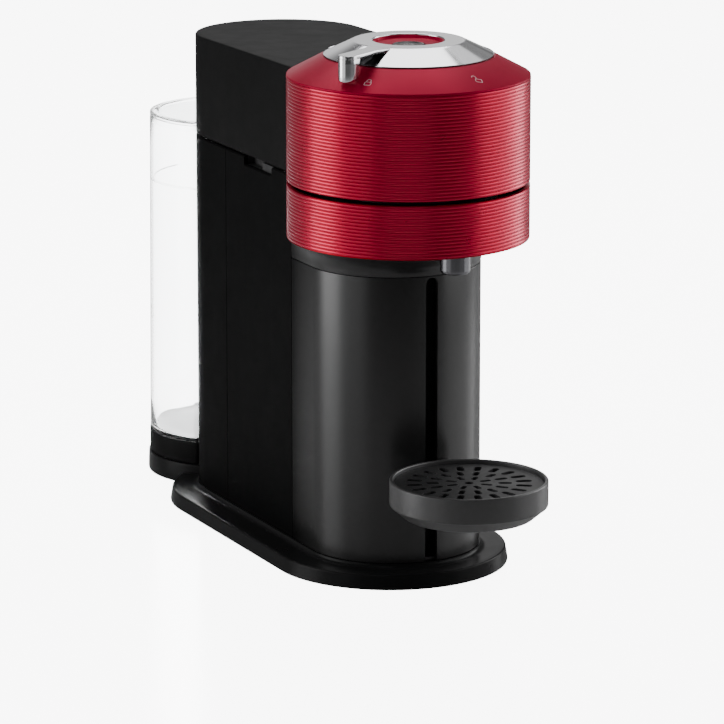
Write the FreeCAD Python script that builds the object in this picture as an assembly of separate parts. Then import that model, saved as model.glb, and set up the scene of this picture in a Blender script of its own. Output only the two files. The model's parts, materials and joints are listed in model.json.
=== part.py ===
import FreeCAD, Part
import os, math
from FreeCAD import Vector as V, Matrix, Placement, Rotation

# Pod coffee machine: round red brewing head over a narrow black column, a
# height-adjustable cup support in front, a flat base plate and a clear water
# tank behind.  Millimetres, +Z up, front of the machine towards -Y.
# Every shape is drawn with the axis of the round head at X = Y = 0 and is
# shifted by Y_SHIFT on export, so that the origin is under the middle of the
# machine, on the surface it stands on.

os.makedirs("parts", exist_ok=True)

# ---------------------------------------------------------------- dimensions
Y_SHIFT = -89.9          # head axis in the exported frame

# round head
HEAD_R = 70.0             # outside of both red bands
HEAD_Z0 = 199.9           # underside of the head
GROOVE_LO = 230.9         # top of the lower red band
GROOVE_HI = 233.3         # bottom of the upper red band (lid split)
RIM_Z = 294.2             # edge between ribbed band and smooth cone
CONE_R = 49.6             # inner edge of the smooth cone
CONE_Z = 305.1
RIB_PITCH = 2.0           # fine horizontal ribs around both bands
RIB_DEPTH = 0.45
SHELL_T = 2.4             # wall of the plastic shells

# lock ring and lever on top
RING_R = 48.8
RING_Z0 = 305.5
RING_TOP_R = 31.9
RING_TOP_Z = 313.9
RING_BORE = 20.6
LEVER_DEG = 58.8          # closed position, measured from the front to the left
LEVER_W = 11.2

# body: stadium plan, rounded at the front and at the back
BODY_HW = 51.45
BODY_YF = 20.5            # centre of the front curve
BODY_YR = 174.3           # centre of the rear curve
BODY_Z0 = 12.9
BODY_Z1 = 230.6           # top edge of the lower body
SEAM_F = 49.0             # vertical seam, front shell to side panel
SEAM_R = 141.7            # vertical seam, side panel to capsule container
NECK_Z0 = 182.0
NECK_Z1 = 199.7
NECK_R = 64.5
SLOT_HW = 3.75            # front slot, half width
SLOT_TOP = 183.0 - 2.0
NOTCH_Y0, NOTCH_Y1, NOTCH_Z = 76.0, 115.0, 225.6

# lid cover
COVER_Z0 = 232.0
COVER_ZF = 294.0          # top, at the head
COVER_ZR = 291.9          # top, at the back
HINGE_Y = 218.0
HINGE_Z = 237.0
HINGE_PIN_R = 2.0
HINGE_EAR_R = 4.2
RUN_GAP = 0.05            # radial clearance of turning fits

# base plate
BASE_HW0 = 69.85          # at the bottom edge
BASE_HW1 = 68.5           # at the top edge
BASE_Z0 = 1.0
BASE_Z1 = 9.9
BASE_YF = 23.9
BASE_YR = 172.5
PLINTH_Z = 12.6

# water tank, a round tank whose front hugs the back of the body
TANK_Y = 250.8
TANK_R0 = 51.0            # outside, at the bottom
TANK_R1 = 49.4            # outside, at the top
TANK_T = 2.0
TANK_FRONT = BODY_HW + 4.6    # radius of the concave front wall; room for the lid's rear as the tank is lifted
DOCK_Z0, DOCK_Z1 = 2.9, 15.6
TRING_Z1 = 29.7
TANK_Z1 = 229.6
TLID_Z1 = 232.0

# cup support
CUP_Y = -78.3
CUP_R = 45.2
CUP_TOP = 73.7
CUP_RIM_Z = 59.0

# spout
SPOUT_Y = -60.0
SPOUT_R = 8.7
SPOUT_Z0 = 189.6

# ------------------------------------------------------------------- helpers
UP = V(0, 0, 1)


def cyl(r, z0, z1, x=0.0, y=0.0):
    return Part.makeCylinder(r, z1 - z0, V(x, y, z0), UP)


def ring(ro, ri, z0, z1, x=0.0, y=0.0):
    return cyl(ro, z0, z1, x, y).cut(cyl(ri, z0 - 1, z1 + 1, x, y))


def box(x0, x1, y0, y1, z0, z1):
    return Part.makeBox(x1 - x0, y1 - y0, z1 - z0, V(x0, y0, z0))


def cyl_x(r, x0, x1, y, z):
    return Part.makeCylinder(r, x1 - x0, V(x0, y, z), V(1, 0, 0))


def cyl_y(r, y0, y1, x, z):
    return Part.makeCylinder(r, y1 - y0, V(x, y0, z), V(0, 1, 0))


def stadium_wire(hw, y0, y1, z):
    e = [
        Part.Arc(V(-hw, y0, z), V(0, y0 - hw, z), V(hw, y0, z)).toShape(),
        Part.LineSegment(V(hw, y0, z), V(hw, y1, z)).toShape(),
        Part.Arc(V(hw, y1, z), V(0, y1 + hw, z), V(-hw, y1, z)).toShape(),
        Part.LineSegment(V(-hw, y1, z), V(-hw, y0, z)).toShape(),
    ]
    return Part.Wire(e)


def stadium(hw, y0, y1, z0, z1):
    return Part.Face(stadium_wire(hw, y0, y1, z0)).extrude(V(0, 0, z1 - z0))


def stadium_taper(hw0, z0, hw1, z1, y0, y1):
    return Part.makeLoft(
        [stadium_wire(hw0, y0, y1, z0), stadium_wire(hw1, y0, y1, z1)], True, True)


def revolve(points, x=0.0, y=0.0):
    """Closed profile of (r, z) points turned about a vertical axis."""
    pts = [V(x + r, y, z) for r, z in points]
    w = Part.makePolygon(pts + [pts[0]])
    return Part.Face(w).revolve(V(x, y, 0), UP, 360)


def crescent(ro, rf, z0, z1):
    return cyl(ro, z0, z1, 0, TANK_Y).cut(cyl(rf, z0 - 1, z1 + 1, 0, BODY_YR))


def fuse(shapes):
    s = shapes[0]
    if len(shapes) > 1:
        s = s.multiFuse(shapes[1:])
    return s.removeSplitter()


def turn_z(shape, deg, x=0.0, y=0.0):
    s = shape.copy()
    s.rotate(V(x, y, 0), UP, deg)
    return s


ALL = {}


def put(name, shape):
    s = shape.copy()
    s.translate(V(0, Y_SHIFT, 0))
    assert s.isValid(), name
    sol = s.Solids
    assert sol, name
    if len(sol) == 1:
        out = sol[0]
    else:
        out = Part.makeCompound(sol)
    out.exportStep("parts/" + name + ".step")
    ALL[name] = out


def ribs(z0, z1, r=HEAD_R, depth=RIB_DEPTH):
    """Profile points of a ribbed wall from z0 up to z1."""
    n = int(round((z1 - z0 - 0.8) / RIB_PITCH))
    m = ((z1 - z0) - n * RIB_PITCH) / 2.0
    pts = [(r, z0), (r, z0 + m)]
    for i in range(n):
        a = z0 + m + i * RIB_PITCH
        pts += [(r - depth, a + 0.35 * RIB_PITCH), (r - depth, a + 0.55 * RIB_PITCH),
                (r, a + 0.9 * RIB_PITCH), (r, a + RIB_PITCH)]
    if abs(pts[-1][1] - z1) > 1e-6:
        pts.append((r, z1))
    return pts


# ================================================================ base
base = stadium_taper(BASE_HW0, BASE_Z0, BASE_HW1, BASE_Z1, BASE_YF, BASE_YR)
base = base.cut(stadium(66.2, BASE_YF, BASE_YR, 0, 7.4))
plinth = stadium_taper(54.6, BASE_Z1, 51.9, PLINTH_Z, BODY_YF, BODY_YR)
BASE_SCREWS = [(-34, 10), (34, 10), (-34, 150), (34, 150), (0, 80)]
bosses = [ring(4.2, 1.7, 3.2, 7.4, x, y) for x, y in BASE_SCREWS]
base = fuse([base, plinth] + bosses)
for x, y in BASE_SCREWS:
    base = base.cut(cyl(1.7, 0, 20, x, y))
put("base_plate", base)

FEET = [(-50, 8), (50, 8), (-50, 186), (50, 186), (0, -30), (0, 100)]
cover = stadium(66.0, BASE_YF, BASE_YR, 1.2, 3.2)
for x, y in FEET:
    cover = cover.cut(cyl(8.0, 0, 2.2, x, y))
for x, y in BASE_SCREWS:
    cover = cover.cut(cyl(4.0, 0, 2.4, x, y)).cut(cyl(1.7, 0, 5, x, y))
for i in range(7):
    cover = cover.cut(box(-18, 18, 118 + 6 * i, 120.5 + 6 * i, 0, 5))
put("base_cover", cover)
feet = [cyl(8.0, 0, 2.2, x, y).cut(ring(5.6, 4.4, -1, 0.5, x, y)) for x, y in FEET]
feet.append(cyl(8.0, 0, DOCK_Z0, 0, 284))
put("rubber_feet", Part.makeCompound(feet))
screws = [fuse([cyl(3.6, 1.3, 2.4, x, y), cyl(1.7, 2.4, 15.3, x, y)]).cut(
    box(x - 2.4, x + 2.4, y - 0.4, y + 0.4, 1.0, 1.8)) for x, y in BASE_SCREWS]

# ================================================================ front column
front = stadium(BODY_HW, BODY_YF, BODY_YR, BODY_Z0, NECK_Z0 - 0.15)
front = front.cut(stadium(BODY_HW - SHELL_T, BODY_YF, BODY_YR, 0, 300))
front = front.cut(box(-80, 80, SEAM_F - 0.2, 300, 0, 300))
slot = fuse([box(-SLOT_HW, SLOT_HW, -60, 0, 0, SLOT_TOP - SLOT_HW),
             cyl_y(SLOT_HW, -60, 0, 0, SLOT_TOP - SLOT_HW)])
front = front.cut(slot)
put("column_front", front)


def neck_wire(t, inset, z):
    """Front section of the neck: an arc that runs tangent into both sides."""
    s = t
    yc = BODY_YF * (1 - s)
    r = BODY_HW + (NECK_R - BODY_HW) * s - inset
    px_, py_ = BODY_HW - inset, SEAM_F - 0.2
    # tangent from the side seam to the arc
    dx, dy = px_, py_ - yc
    d = math.hypot(dx, dy)
    base_a = math.atan2(dy, dx)
    off = math.acos(min(1.0, r / d))
    a = base_a - off
    tx, ty = r * math.cos(a), yc + r * math.sin(a)
    e = [
        Part.Arc(V(-tx, ty, z), V(0, yc - r, z), V(tx, ty, z)).toShape(),
        Part.LineSegment(V(tx, ty, z), V(px_, py_, z)).toShape(),
        Part.LineSegment(V(px_, py_, z), V(-px_, py_, z)).toShape(),
        Part.LineSegment(V(-px_, py_, z), V(-tx, ty, z)).toShape(),
    ]
    return Part.Wire(e)


def neck(inset, z0, z1):
    ws = []
    for i in range(7):
        u = i / 6.0
        t = 1 - math.sqrt(max(0.0, 1 - u * u)) if u < 1 else 1.0
        t = 0.55 * t + 0.45 * u * u
        ws.append(neck_wire(0.004 + 0.996 * t, inset, z0 + (z1 - z0) * u))
    return Part.makeLoft(ws, True, False)


nk = neck(0.0, NECK_Z0 + 0.15, NECK_Z1)
nk = nk.cut(stadium(BODY_HW - SHELL_T - 0.6, BODY_YF, BODY_YR, 0, 300))
nk = nk.cut(cyl(SPOUT_R + 0.25, 150, 300, 0, SPOUT_Y))
put("head_neck", nk)

# ================================================================ cup guide in the column
CH_X, CH_Y0, CH_Y1 = 9.0, -28.4, -17.0
liner = box(-CH_X, CH_X, CH_Y0, CH_Y1, 13.2, 182.0)
liner = liner.cut(box(-7.4, 7.4, -40, CH_Y1 - 1.6, 14.8, 181.0))
liner = liner.common(stadium(BODY_HW - SHELL_T - 0.05, BODY_YF, BODY_YR, 0, 300))
for i in range(12):
    z = 22 + 13 * i
    liner = liner.cut(box(-3.0, 3.0, CH_Y1 - 0.8, CH_Y1 + 1, z, z + 4))
put("slot_liner", liner)

# ================================================================ side panels
shell = stadium(BODY_HW, BODY_YF, BODY_YR, BODY_Z0, BODY_Z1).cut(
    stadium(BODY_HW - SHELL_T, BODY_YF, BODY_YR, 0, 300))
notch = box(-80, 80, NOTCH_Y0, NOTCH_Y1, NOTCH_Z, 300)
mid = shell.common(box(-80, 80, SEAM_F, SEAM_R - 0.2, 0, 300)).cut(notch)
left = mid.common(box(-80, 0, -100, 300, 0, 300))
right = mid.common(box(0, 80, -100, 300, 0, 300))
INLET_Y, INLET_Z = 128.0, 26.0
right = right.cut(cyl_x(5.6, 40, 60, INLET_Y, INLET_Z))
put("side_panel_left", left)
put("side_panel_right", right)
put("mains_inlet", fuse([cyl_x(5.6, 44.5, 52.4, INLET_Y, INLET_Z),
                         cyl_x(8.0, 44.5, 48.9, INLET_Y, INLET_Z),
                         cyl_x(7.2, 51.5, 53.2, INLET_Y, INLET_Z)]).cut(
    cyl_x(3.4, 40, 60, INLET_Y, INLET_Z)))
grip = [box(s * 50.6 if s < 0 else 46.9, s * 46.9 if s < 0 else 50.6,
            NOTCH_Y0 + 0.4, NOTCH_Y1 - 0.4, 219.5, NOTCH_Z - 0.3) for s in (-1, 1)]
inserts = []
for s in (-1, 1):
    x0, x1 = sorted((s * 48.95, s * 43.0))
    inserts.append(box(x0, x1, NOTCH_Y0 - 3, NOTCH_Y1 + 3, 219.0, 230.0).cut(
        box(x0 - 5, x1 + 5, NOTCH_Y0 + 18, NOTCH_Y1, NOTCH_Z, 240).cut(
            box(-44.6, 44.6, 0, 300, 0, 300))))
INSERTS = inserts

# ================================================================ used-capsule container
rear = shell.common(box(-80, 80, SEAM_R, 300, 0, 300))
inner_wall = box(-BODY_HW + SHELL_T, BODY_HW - SHELL_T, SEAM_R + 2.5, SEAM_R + 4.7, 18, 196)
floor = stadium(BODY_HW - SHELL_T, BODY_YF, BODY_YR, 18, 20.2).common(
    box(-80, 80, SEAM_R + 2.5, 300, 0, 300))
put("capsule_container", fuse([rear, inner_wall, floor]))

# ================================================================ inner frame
fr = [stadium(47.5, BODY_YF, BODY_YR, 12.9, 15.3).common(box(-80, 80, -14, SEAM_R - 1.2, 0, 300)),
      box(-46.5, -44.3, 44, SEAM_R - 1.2, 15.3, 196.7),
      box(44.3, 46.5, 44, SEAM_R - 1.2, 15.3, 196.7),
      box(-44.3, 44.3, SEAM_R - 3.4, SEAM_R - 1.2, 15.3, 196.7),
      box(-44.3, 44.3, 44, 46.2, 60, 75),
      box(-44.3, 44.3, 44, SEAM_R - 3.4, 194.5, 196.7)]
frame = fuse(fr)
for y in (60, 85, 110):
    for z in (40, 80, 120, 160):
        frame = frame.cut(box(-60, 60, y, y + 14, z, z + 22))
for x, y in BASE_SCREWS:
    frame = frame.cut(cyl(1.7, 10, 20, x, y))
# brackets that carry the heater
frame = fuse([frame, box(-46.5, -36, 60, 68, 88, 119), box(-46.5, -36, 106, 112, 88, 119)])
frame = frame.cut(cyl_x(8.3, 40, 60, INLET_Y, INLET_Z))
put("chassis", frame)
deck = fuse([stadium(48.8, BODY_YF, 166, 224.6, 227.2).common(box(-80, 80, 20, 220, 0, 300)),
             box(-42.6, -40.2, 52, 194, 206, 224.6), box(40.2, 42.6, 52, 194, 206, 224.6)])
deck = deck.cut(cyl(52.0, 200, 240)).cut(box(-36, 36, 30, 196, 200, 240))
deck = deck.cut(box(-80, 80, 209, 300, 0, 300))
for s in (-1, 1):
    x0, x1 = sorted((s * 52, s * 42.7))
    deck = deck.cut(box(x0, x1, NOTCH_Y0 - 3.4, NOTCH_Y1 + 3.4, 200, 240))

chute = fuse([box(-38.4, -36.6, 54, SEAM_R + 8, 199, 224.2), box(36.6, 38.4, 54, SEAM_R + 8, 199, 224.2),
              box(-38.4, 38.4, 54, SEAM_R + 8, 197.2, 199)])
put("capsule_chute", chute)
# the finger-notch cups are moulded on the deck
put("top_deck", fuse([deck] + INSERTS))

# hinge bracket at the back, carried on the deck
br = [box(-34, 34, 204, 209, 227.2, 230.4), box(-34, 34, 196.2, 209, 227.2, 229.4)]
ears = []
for s in (-1, 1):
    x0, x1 = sorted((s * 5.0, s * 9.0))
    ears.append(fuse([box(x0, x1, 203, HINGE_Y, 229.4, HINGE_Z + 1.0), cyl_x(HINGE_EAR_R, x0, x1, HINGE_Y, HINGE_Z)]))
brk = fuse(br + ears)
brk = brk.cut(box(-80, 80, 209.2, 400, 200, 232.0))
brk = brk.cut(cyl_x(HINGE_PIN_R, -40, 40, HINGE_Y, HINGE_Z))
put("hinge_bracket", brk)
put("hinge_pins", Part.makeCompound([
    cyl_x(HINGE_PIN_R, 4.4, 14.4, HINGE_Y, HINGE_Z), cyl_x(HINGE_PIN_R, -14.4, -4.4, HINGE_Y, HINGE_Z)]))

# ================================================================ head, fixed half
rear_gap = box(-BODY_HW - 0.2, BODY_HW + 0.2, 38, 120, 150, 400)
lower = revolve(ribs(HEAD_Z0, GROOVE_LO) + [(HEAD_R - SHELL_T, GROOVE_LO), (HEAD_R - SHELL_T, HEAD_Z0)])
lower = lower.cut(rear_gap)
put("lower_red_band", lower)
under = cyl(HEAD_R - SHELL_T - 0.1, HEAD_Z0, 202.2)
under = under.cut(box(-BODY_HW - 0.2, BODY_HW + 0.2, 46, 120, 150, 400))
under = under.cut(cyl(SPOUT_R + 0.1, 150, 300, 0, SPOUT_Y)).cut(cyl(9.0, 150, 300))
under = under.cut(cyl(5.1, 150, 300, 22, 20))
put("head_underside", under)

ch = revolve([(9.0, 202.4), (47.0, 202.4), (47.0, 229.6), (44.6, 229.6), (44.6, 204.6), (9.0, 204.6)])
outlet = fuse([box(-8.0, 8.0, -62, -42, 204.6, 214)])
arm = fuse([box(-10.0, 10.0, -66.0, -45.0, 202.4, 216.0)]).common(cyl(66.9, 150, 300))
ch = fuse([ch, arm.cut(cyl(44.6, 150, 300))])
ch = ch.cut(box(-7.6, 7.6, -63.5, -42, 204.6, 213.6).common(cyl(64.6, 150, 300)))
ch = ch.cut(cyl(5.0, 195, 206, 0, SPOUT_Y + 1.0)).cut(cyl(2.7, 195, 206, 22, 20))
put("brew_chamber", ch)
spout = fuse([cyl(SPOUT_R, SPOUT_Z0 + 1.2, 202.2, 0, SPOUT_Y),
              revolve([(0, SPOUT_Z0), (SPOUT_R - 1.0, SPOUT_Z0), (SPOUT_R, SPOUT_Z0 + 1.2), (0, SPOUT_Z0 + 1.2)], 0, SPOUT_Y)])
spout = spout.cut(cyl(5.0, 180, 210, 0, SPOUT_Y)).cut(ring(90, HEAD_R - SHELL_T - 0.1, HEAD_Z0 - 0.2, 210))
put("spout", spout)
deck_seal = ring(52.0 - 0.3, 47.3, 224.6, 227.6)
put("chamber_seal", deck_seal)

# spinning capsule holder, its shaft, bearing and motor
holder = revolve([(0, 209.0), (4.2, 207.4), (7.0, 207.4), (8.0, 210.0), (20.5, 210.4), (23.0, 212.0),
                  (28.2, 224.0), (32.0, 225.4), (34.5, 225.4), (34.5, 227.4), (31.2, 227.4),
                  (26.4, 225.6), (21.6, 213.6), (19.6, 212.2), (0, 212.2)])
for i in range(6):
    holder = holder.cut(turn_z(cyl(1.6, 200, 230, 31.6, 0), 60 * i + 12))
put("capsule_holder", holder.cut(cyl(3.0, 200, 208.6)))
put("motor_shaft", fuse([cyl(3.0, 150.5, 208.0 + 0.6), cyl(4.2, 188.0, 192.0)]))
put("spin_bearing", ring(9.0, 3.0 + RUN_GAP, 199.6, 206.2))
motor = fuse([cyl(16.5, 118, 172), cyl(8.0, 172, 176), ring(16.9, 16.5, 126, 164)])
motor = motor.cut(cyl(3.0 + RUN_GAP, 150, 200))
for i in range(4):
    motor = motor.cut(turn_z(box(10, 30, -3, 3, 120, 123), 45 + 90 * i))
mount = box(-30, 30, -16.0, 43.6, 176, 178.4).common(stadium(47.5, BODY_YF, BODY_YR, 0, 300))
mount = fuse([mount, box(-30, -27.6, 20, 43.6, 178.4, 199.7), box(27.6, 30, 20, 43.6, 178.4, 199.7)])
mount = mount.cut(cyl(6.0, 150, 190))
screws += [turn_z(fuse([cyl(2.6, 178.4, 180.2, 11.5, 0), cyl(1.4, 170, 178.4, 11.5, 0)]), a) for a in (60, 180, 300)]
put("screws", Part.makeCompound(screws))
# motor and plate are drilled for their three screws
for n in ("spin_motor", "motor_mount"):
    s = (motor if n == "spin_motor" else mount)
    for a in (60, 180, 300):
        s = s.cut(turn_z(cyl(1.4, 169.9, 178.5, 11.5, 0), a))
    put(n, s)

# ================================================================ water and power inside the body
pump = fuse([cyl_y(16.0, 64, 104, -18, 47), cyl_y(9.0, 54, 64, -18, 47), cyl_y(11.0, 104, 120, -18, 47),
             box(-38, 2, 68, 98, 30, 64)])
put("pump", pump)
put("pump_mounts", Part.makeCompound([box(-38, 2, 70, 76, 15.3, 30), box(-38, 2, 90, 96, 15.3, 30)]))
heater = fuse([box(-36, 8, 58, 118, 92, 122), cyl_y(5, 53, 58, -14, 107), cyl_y(5, 118, 126, -14, 107)])
for i in range(8):
    heater = heater.cut(box(-38, 10, 62 + 7 * i, 65 + 7 * i, 119.5, 130))
put("thermoblock", heater)
flow = fuse([cyl(11, 15.3, 33, 28, 84), cyl_y(3.2, 66, 102, 28, 24)])
put("flow_meter", flow)


def hose(points, r):
    """Hose through the points, corners rounded by spheres of its own radius."""
    parts = []
    for a, b in zip(points, points[1:]):
        d = V(*b).sub(V(*a))
        parts.append(Part.makeCylinder(r, d.Length, V(*a), d))
    for c in points[1:-1]:
        parts.append(Part.makeSphere(r, V(*c)))
    return fuse(parts)


put("water_hoses", Part.makeCompound([
    hose([(28, 102, 24), (28, 130, 24), (-18, 130, 24), (-18, 130, 47), (-18, 120, 47)], 2.6),
    hose([(-18, 54, 47), (-18, 50, 47), (-18, 50, 107), (-14, 50, 107), (-14, 53, 107)], 2.6),
    hose([(-14, 126, 107), (-14, 131, 107), (-14, 131, 186), (22, 131, 186), (22, 20, 186), (22, 20, 204.6)], 2.6),
]))
power = fuse([box(22, 23.6, 56, 124, 84, 150), box(23.6, 40, 62, 82, 92, 112), cyl_x(6, 23.6, 36, 98, 100),
              cyl_x(6, 23.6, 36, 114, 100), box(23.6, 33, 90, 116, 122, 142)])
put("power_board", power)
ctrl = fuse([box(-36, 14, 60, 118, 150, 151.6), box(-26, -12, 72, 86, 151.6, 154), box(-4, 6, 76, 96, 151.6, 158),
             box(-30, -18, 96, 112, 151.6, 160)])
put("control_board", ctrl)

# ================================================================ tank dock
base_clear = stadium_taper(BASE_HW0 + 0.15, BASE_Z0 - 1.0, BASE_HW1 + 0.15, BASE_Z1 + 0.05, BASE_YF, BASE_YR)
dock = crescent(52.5, BODY_HW + 0.35, DOCK_Z0, DOCK_Z1 - 0.2)
dock = dock.cut(base_clear).cut(stadium_taper(54.8, BASE_Z1 - 0.1, 51.95, PLINTH_Z + 0.1, BODY_YF, BODY_YR))
dock = max(dock.Solids, key=lambda s: s.Volume)
dock = dock.cut(cyl(12.0, 9.9, 30, 0, TANK_Y + 6))
put("tank_dock", dock)
put("dock_port", fuse([cyl(11.8, 9.9, 12.0, 0, TANK_Y + 6), ring(7.0, 4.0, 12.0, 17.2, 0, TANK_Y + 6),
                       cyl(1.6, 12.0, 21.5, 0, TANK_Y + 6)]))

# ================================================================ lid
upper_prof = ribs(GROOVE_HI, RIM_Z) + [(CONE_R, CONE_Z), (CONE_R - 2.0, CONE_Z), (CONE_R - 2.0, CONE_Z - 2.4),
                                       (HEAD_R - SHELL_T, RIM_Z - 2.0), (HEAD_R - SHELL_T, GROOVE_HI)]
upper = revolve(upper_prof)
upper = upper.cut(box(-BODY_HW - 0.1, BODY_HW + 0.1, 38, 120, 150, RIM_Z - 0.05))
put("upper_red_band", upper)

tc = stadium(BODY_HW, BODY_YF, BODY_YR, COVER_Z0, 300)
tci = stadium(BODY_HW - SHELL_T, BODY_YF, BODY_YR, 200, 300)
y_end = BODY_YR + BODY_HW
slope = (COVER_ZF - COVER_ZR) / (y_end - 47.0)


def under_roof(drop):
    """Everything below the slightly falling roof plane, lowered by drop."""
    zf, zr = COVER_ZF - drop + slope * 47.0, COVER_ZF - drop - slope * (260 - 47.0)
    p = [V(-90, 0, 100), V(-90, 0, zf), V(-90, 260, zr), V(-90, 260, 100)]
    return Part.Face(Part.makePolygon(p + [p[0]])).extrude(V(180, 0, 0))


tc = tc.common(under_roof(0)).cut(tci.common(under_roof(SHELL_T)))
tc = tc.cut(cyl(HEAD_R + 0.15, 150, 400)).cut(box(-80, 80, -200, 30, 0, 400))
# undercut at the rear lower edge, so that the lid can tip back
p = [V(-90, HINGE_Y + 3.0, COVER_Z0 - 1), V(-90, HINGE_Y + 3.0, COVER_Z0), V(-90, y_end + 1, 235.9), V(-90, y_end + 1, COVER_Z0 - 1)]
tc = tc.cut(Part.Face(Part.makePolygon(p + [p[0]])).extrude(V(180, 0, 0)))
put("top_cover", tc)

ip = fuse([cyl(HEAD_R - SHELL_T - 0.2, 234.0, 236.2).cut(box(-90, 90, 46, 200, 0, 400)),
           stadium(BODY_HW - SHELL_T - 0.1, BODY_YF, BODY_YR, 234.0, 236.2).common(box(-90, 90, 30, 194, 0, 400))])
ip = ip.cut(cyl(36.0, 200, 300))
ip = fuse([ip, ring(38.4, 36.0, 234.0, 246.0)])
put("lid_inner_plate", ip)
put("lid_gasket", ring(51.2, 47.6, 231.4, 234.0))
# clamp disc that presses on the capsule and spins with it
put("clamp_bearing", fuse([ring(16.0, 11.0, 248.0, 256.0), ring(38.4, 12.0, 246.0, 248.0)]))
clamp = revolve([(0, 232.6), (6, 232.6), (6, 229.8), (30.0, 229.8), (33.6, 231.2), (34.8, 233.4), (34.8, 240.0),
                 (31.0, 243.0), (14.0, 244.6), (10.95, 244.6), (10.95, 262.0), (0, 262.0)])
needle = revolve([(0, 226.0), (1.6, 229.6), (1.6, 232.6), (0, 232.6)])
put("clamp_disc", clamp)
put("piercing_needle", needle)
put("clamp_water_feed", fuse([ring(16.0, 13.0, 256.0, 266.0), cyl(16.0, 264.0, 270.0), cyl_y(3.0, 0, 60, 0, 273.0).fuse(cyl(3.0, 270.0, 273.0))]))
arms = []
for s in (-1, 1):
    x0, x1 = sorted((s * 9.4, s * 14.0))
    arms.append(fuse([cyl_x(HINGE_EAR_R, x0, x1, HINGE_Y, HINGE_Z), box(x0, x1, 180, HINGE_Y, 236.2, HINGE_Z + 4.2),
                      ]).cut(cyl_x(HINGE_PIN_R + RUN_GAP, -40, 40, HINGE_Y, HINGE_Z)).cut(tc))
put("lid_hinge_arms", Part.makeCompound(arms))

# red dish inside the lock ring
dish = revolve([(9.7, 303.0), (CONE_R - 2.2, 303.0), (CONE_R - 2.2, 305.0), (29.0, 305.0), (20.3, 305.0), (20.3, 313.3),
                (19.7, 313.3), (18.6, 311.7), (12.4, 310.4), (11.0, 311.0), (9.7, 311.0)])
dish = fuse([dish, ring(24.8, 22.3, 304.5, 311.0)])      # collar that the lock ring turns on
put("dish_ring", dish)

# lock ring with its lever
a_l = math.radians(LEVER_DEG)
lr = revolve([(RING_R, RING_Z0), (RING_TOP_R, RING_TOP_Z), (RING_BORE + 0.6, RING_TOP_Z), (RING_BORE, RING_TOP_Z - 0.6),
              (RING_BORE, 311.4), (25.0, 311.4), (25.0, 308.0), (27.6, 308.0), (27.6, 312.2), (31.4, 312.2), (44.6, RING_Z0)])
# channel in the ring that the lever's arm lies in, with a lower floor
channel = Part.Face(Part.makePolygon([V(-7.4, -32.6, 300), V(7.4, -32.6, 300), V(7.9, -53, 300), V(-7.9, -53, 300), V(-7.4, -32.6, 300)])).extrude(V(0, 0, 30))
lr = lr.cut(channel)
step = revolve([(RING_R - 1.3, RING_Z0), (RING_R - 2.4, RING_Z0 + 1.0), (33.4, 310.6), (31.0, 311.2), (31.0, 309.4), (43.2, RING_Z0)]).common(channel)
HL = LEVER_W / 2
LEVER_V = 63.0               # centre of the nose's curve
blade = Part.Face(Part.makePolygon([V(-8.5, -28, 311.7), V(8.5, -28, 311.7), V(HL, -37, 311.7), V(HL, -LEVER_V, 311.7),
                                    V(-HL, -LEVER_V, 311.7), V(-HL, -37, 311.7), V(-8.5, -28, 311.7)])).extrude(V(0, 0, 2.2))
# the nose turns down; its inner face leans outward and its foot is cut parallel to the cone
tab_in = Part.Face(Part.makePolygon([V(-20, -59.6, 311.8), V(-20, -62.2, 296), V(-20, 0, 296), V(-20, 0, 311.8), V(-20, -59.6, 311.8)])).extrude(V(40, 0, 0))
tab_foot = Part.Face(Part.makePolygon([V(-20, -75, 296.9), V(-20, -55, 300.9), V(-20, -55, 280), V(-20, -75, 280), V(-20, -75, 296.9)])).extrude(V(40, 0, 0))
tab = cyl(HL, 290.0, 313.9, 0, -LEVER_V).fuse(box(-HL, HL, -LEVER_V, -LEVER_V + 4.2, 290.0, 313.9)).cut(tab_in).cut(tab_foot)
tab = max(tab.Solids, key=lambda q: q.Volume)
rib = box(-1.4, 1.4, -61.4, -30, 308.6, 311.95).cut(revolve([(0, 300), (52, 300), (52, 305.4), (36, 314), (0, 314)]).common(box(-90, 90, -200, 200, 0, 308.0)))
lever = fuse([lr, step, blade, tab])
lever = lever.cut(revolve([(50.0, 290), (80, 290), (80, 289.45), (50.0, 305.5)]))
lever = turn_z(lever, -LEVER_DEG)
put("lock_lever", lever)

# start button, its spring and light ring
put("start_button", fuse([cyl(9.3, 303.2, 311.4), cyl(9.9, 300.6, 302.6).cut(cyl(8.0, 300, 302.7)).fuse(cyl(9.9, 302.0, 302.6)), cyl(8.6, 302.0, 304.2), cyl(3.0, 297.5, 302.2)]))
put("button_base", fuse([ring(16.0, 10.4, 299.0, 303.0), cyl(16.0, 290.0, 292.0), ring(16.0, 13.5, 292.0, 299.0), ring(5.4, 3.05, 292.0, 297.0)]))


def coil(r, wire_r, pitch, turns, z0):
    """Compression spring drawn as closed turns, one above the other."""
    return Part.makeCompound([Part.makeTorus(r, wire_r, V(0, 0, z0 + wire_r + i * pitch), UP) for i in range(turns)])


put("button_spring", coil(7.0, 0.45, 2.1, 5, 292.0))

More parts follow.
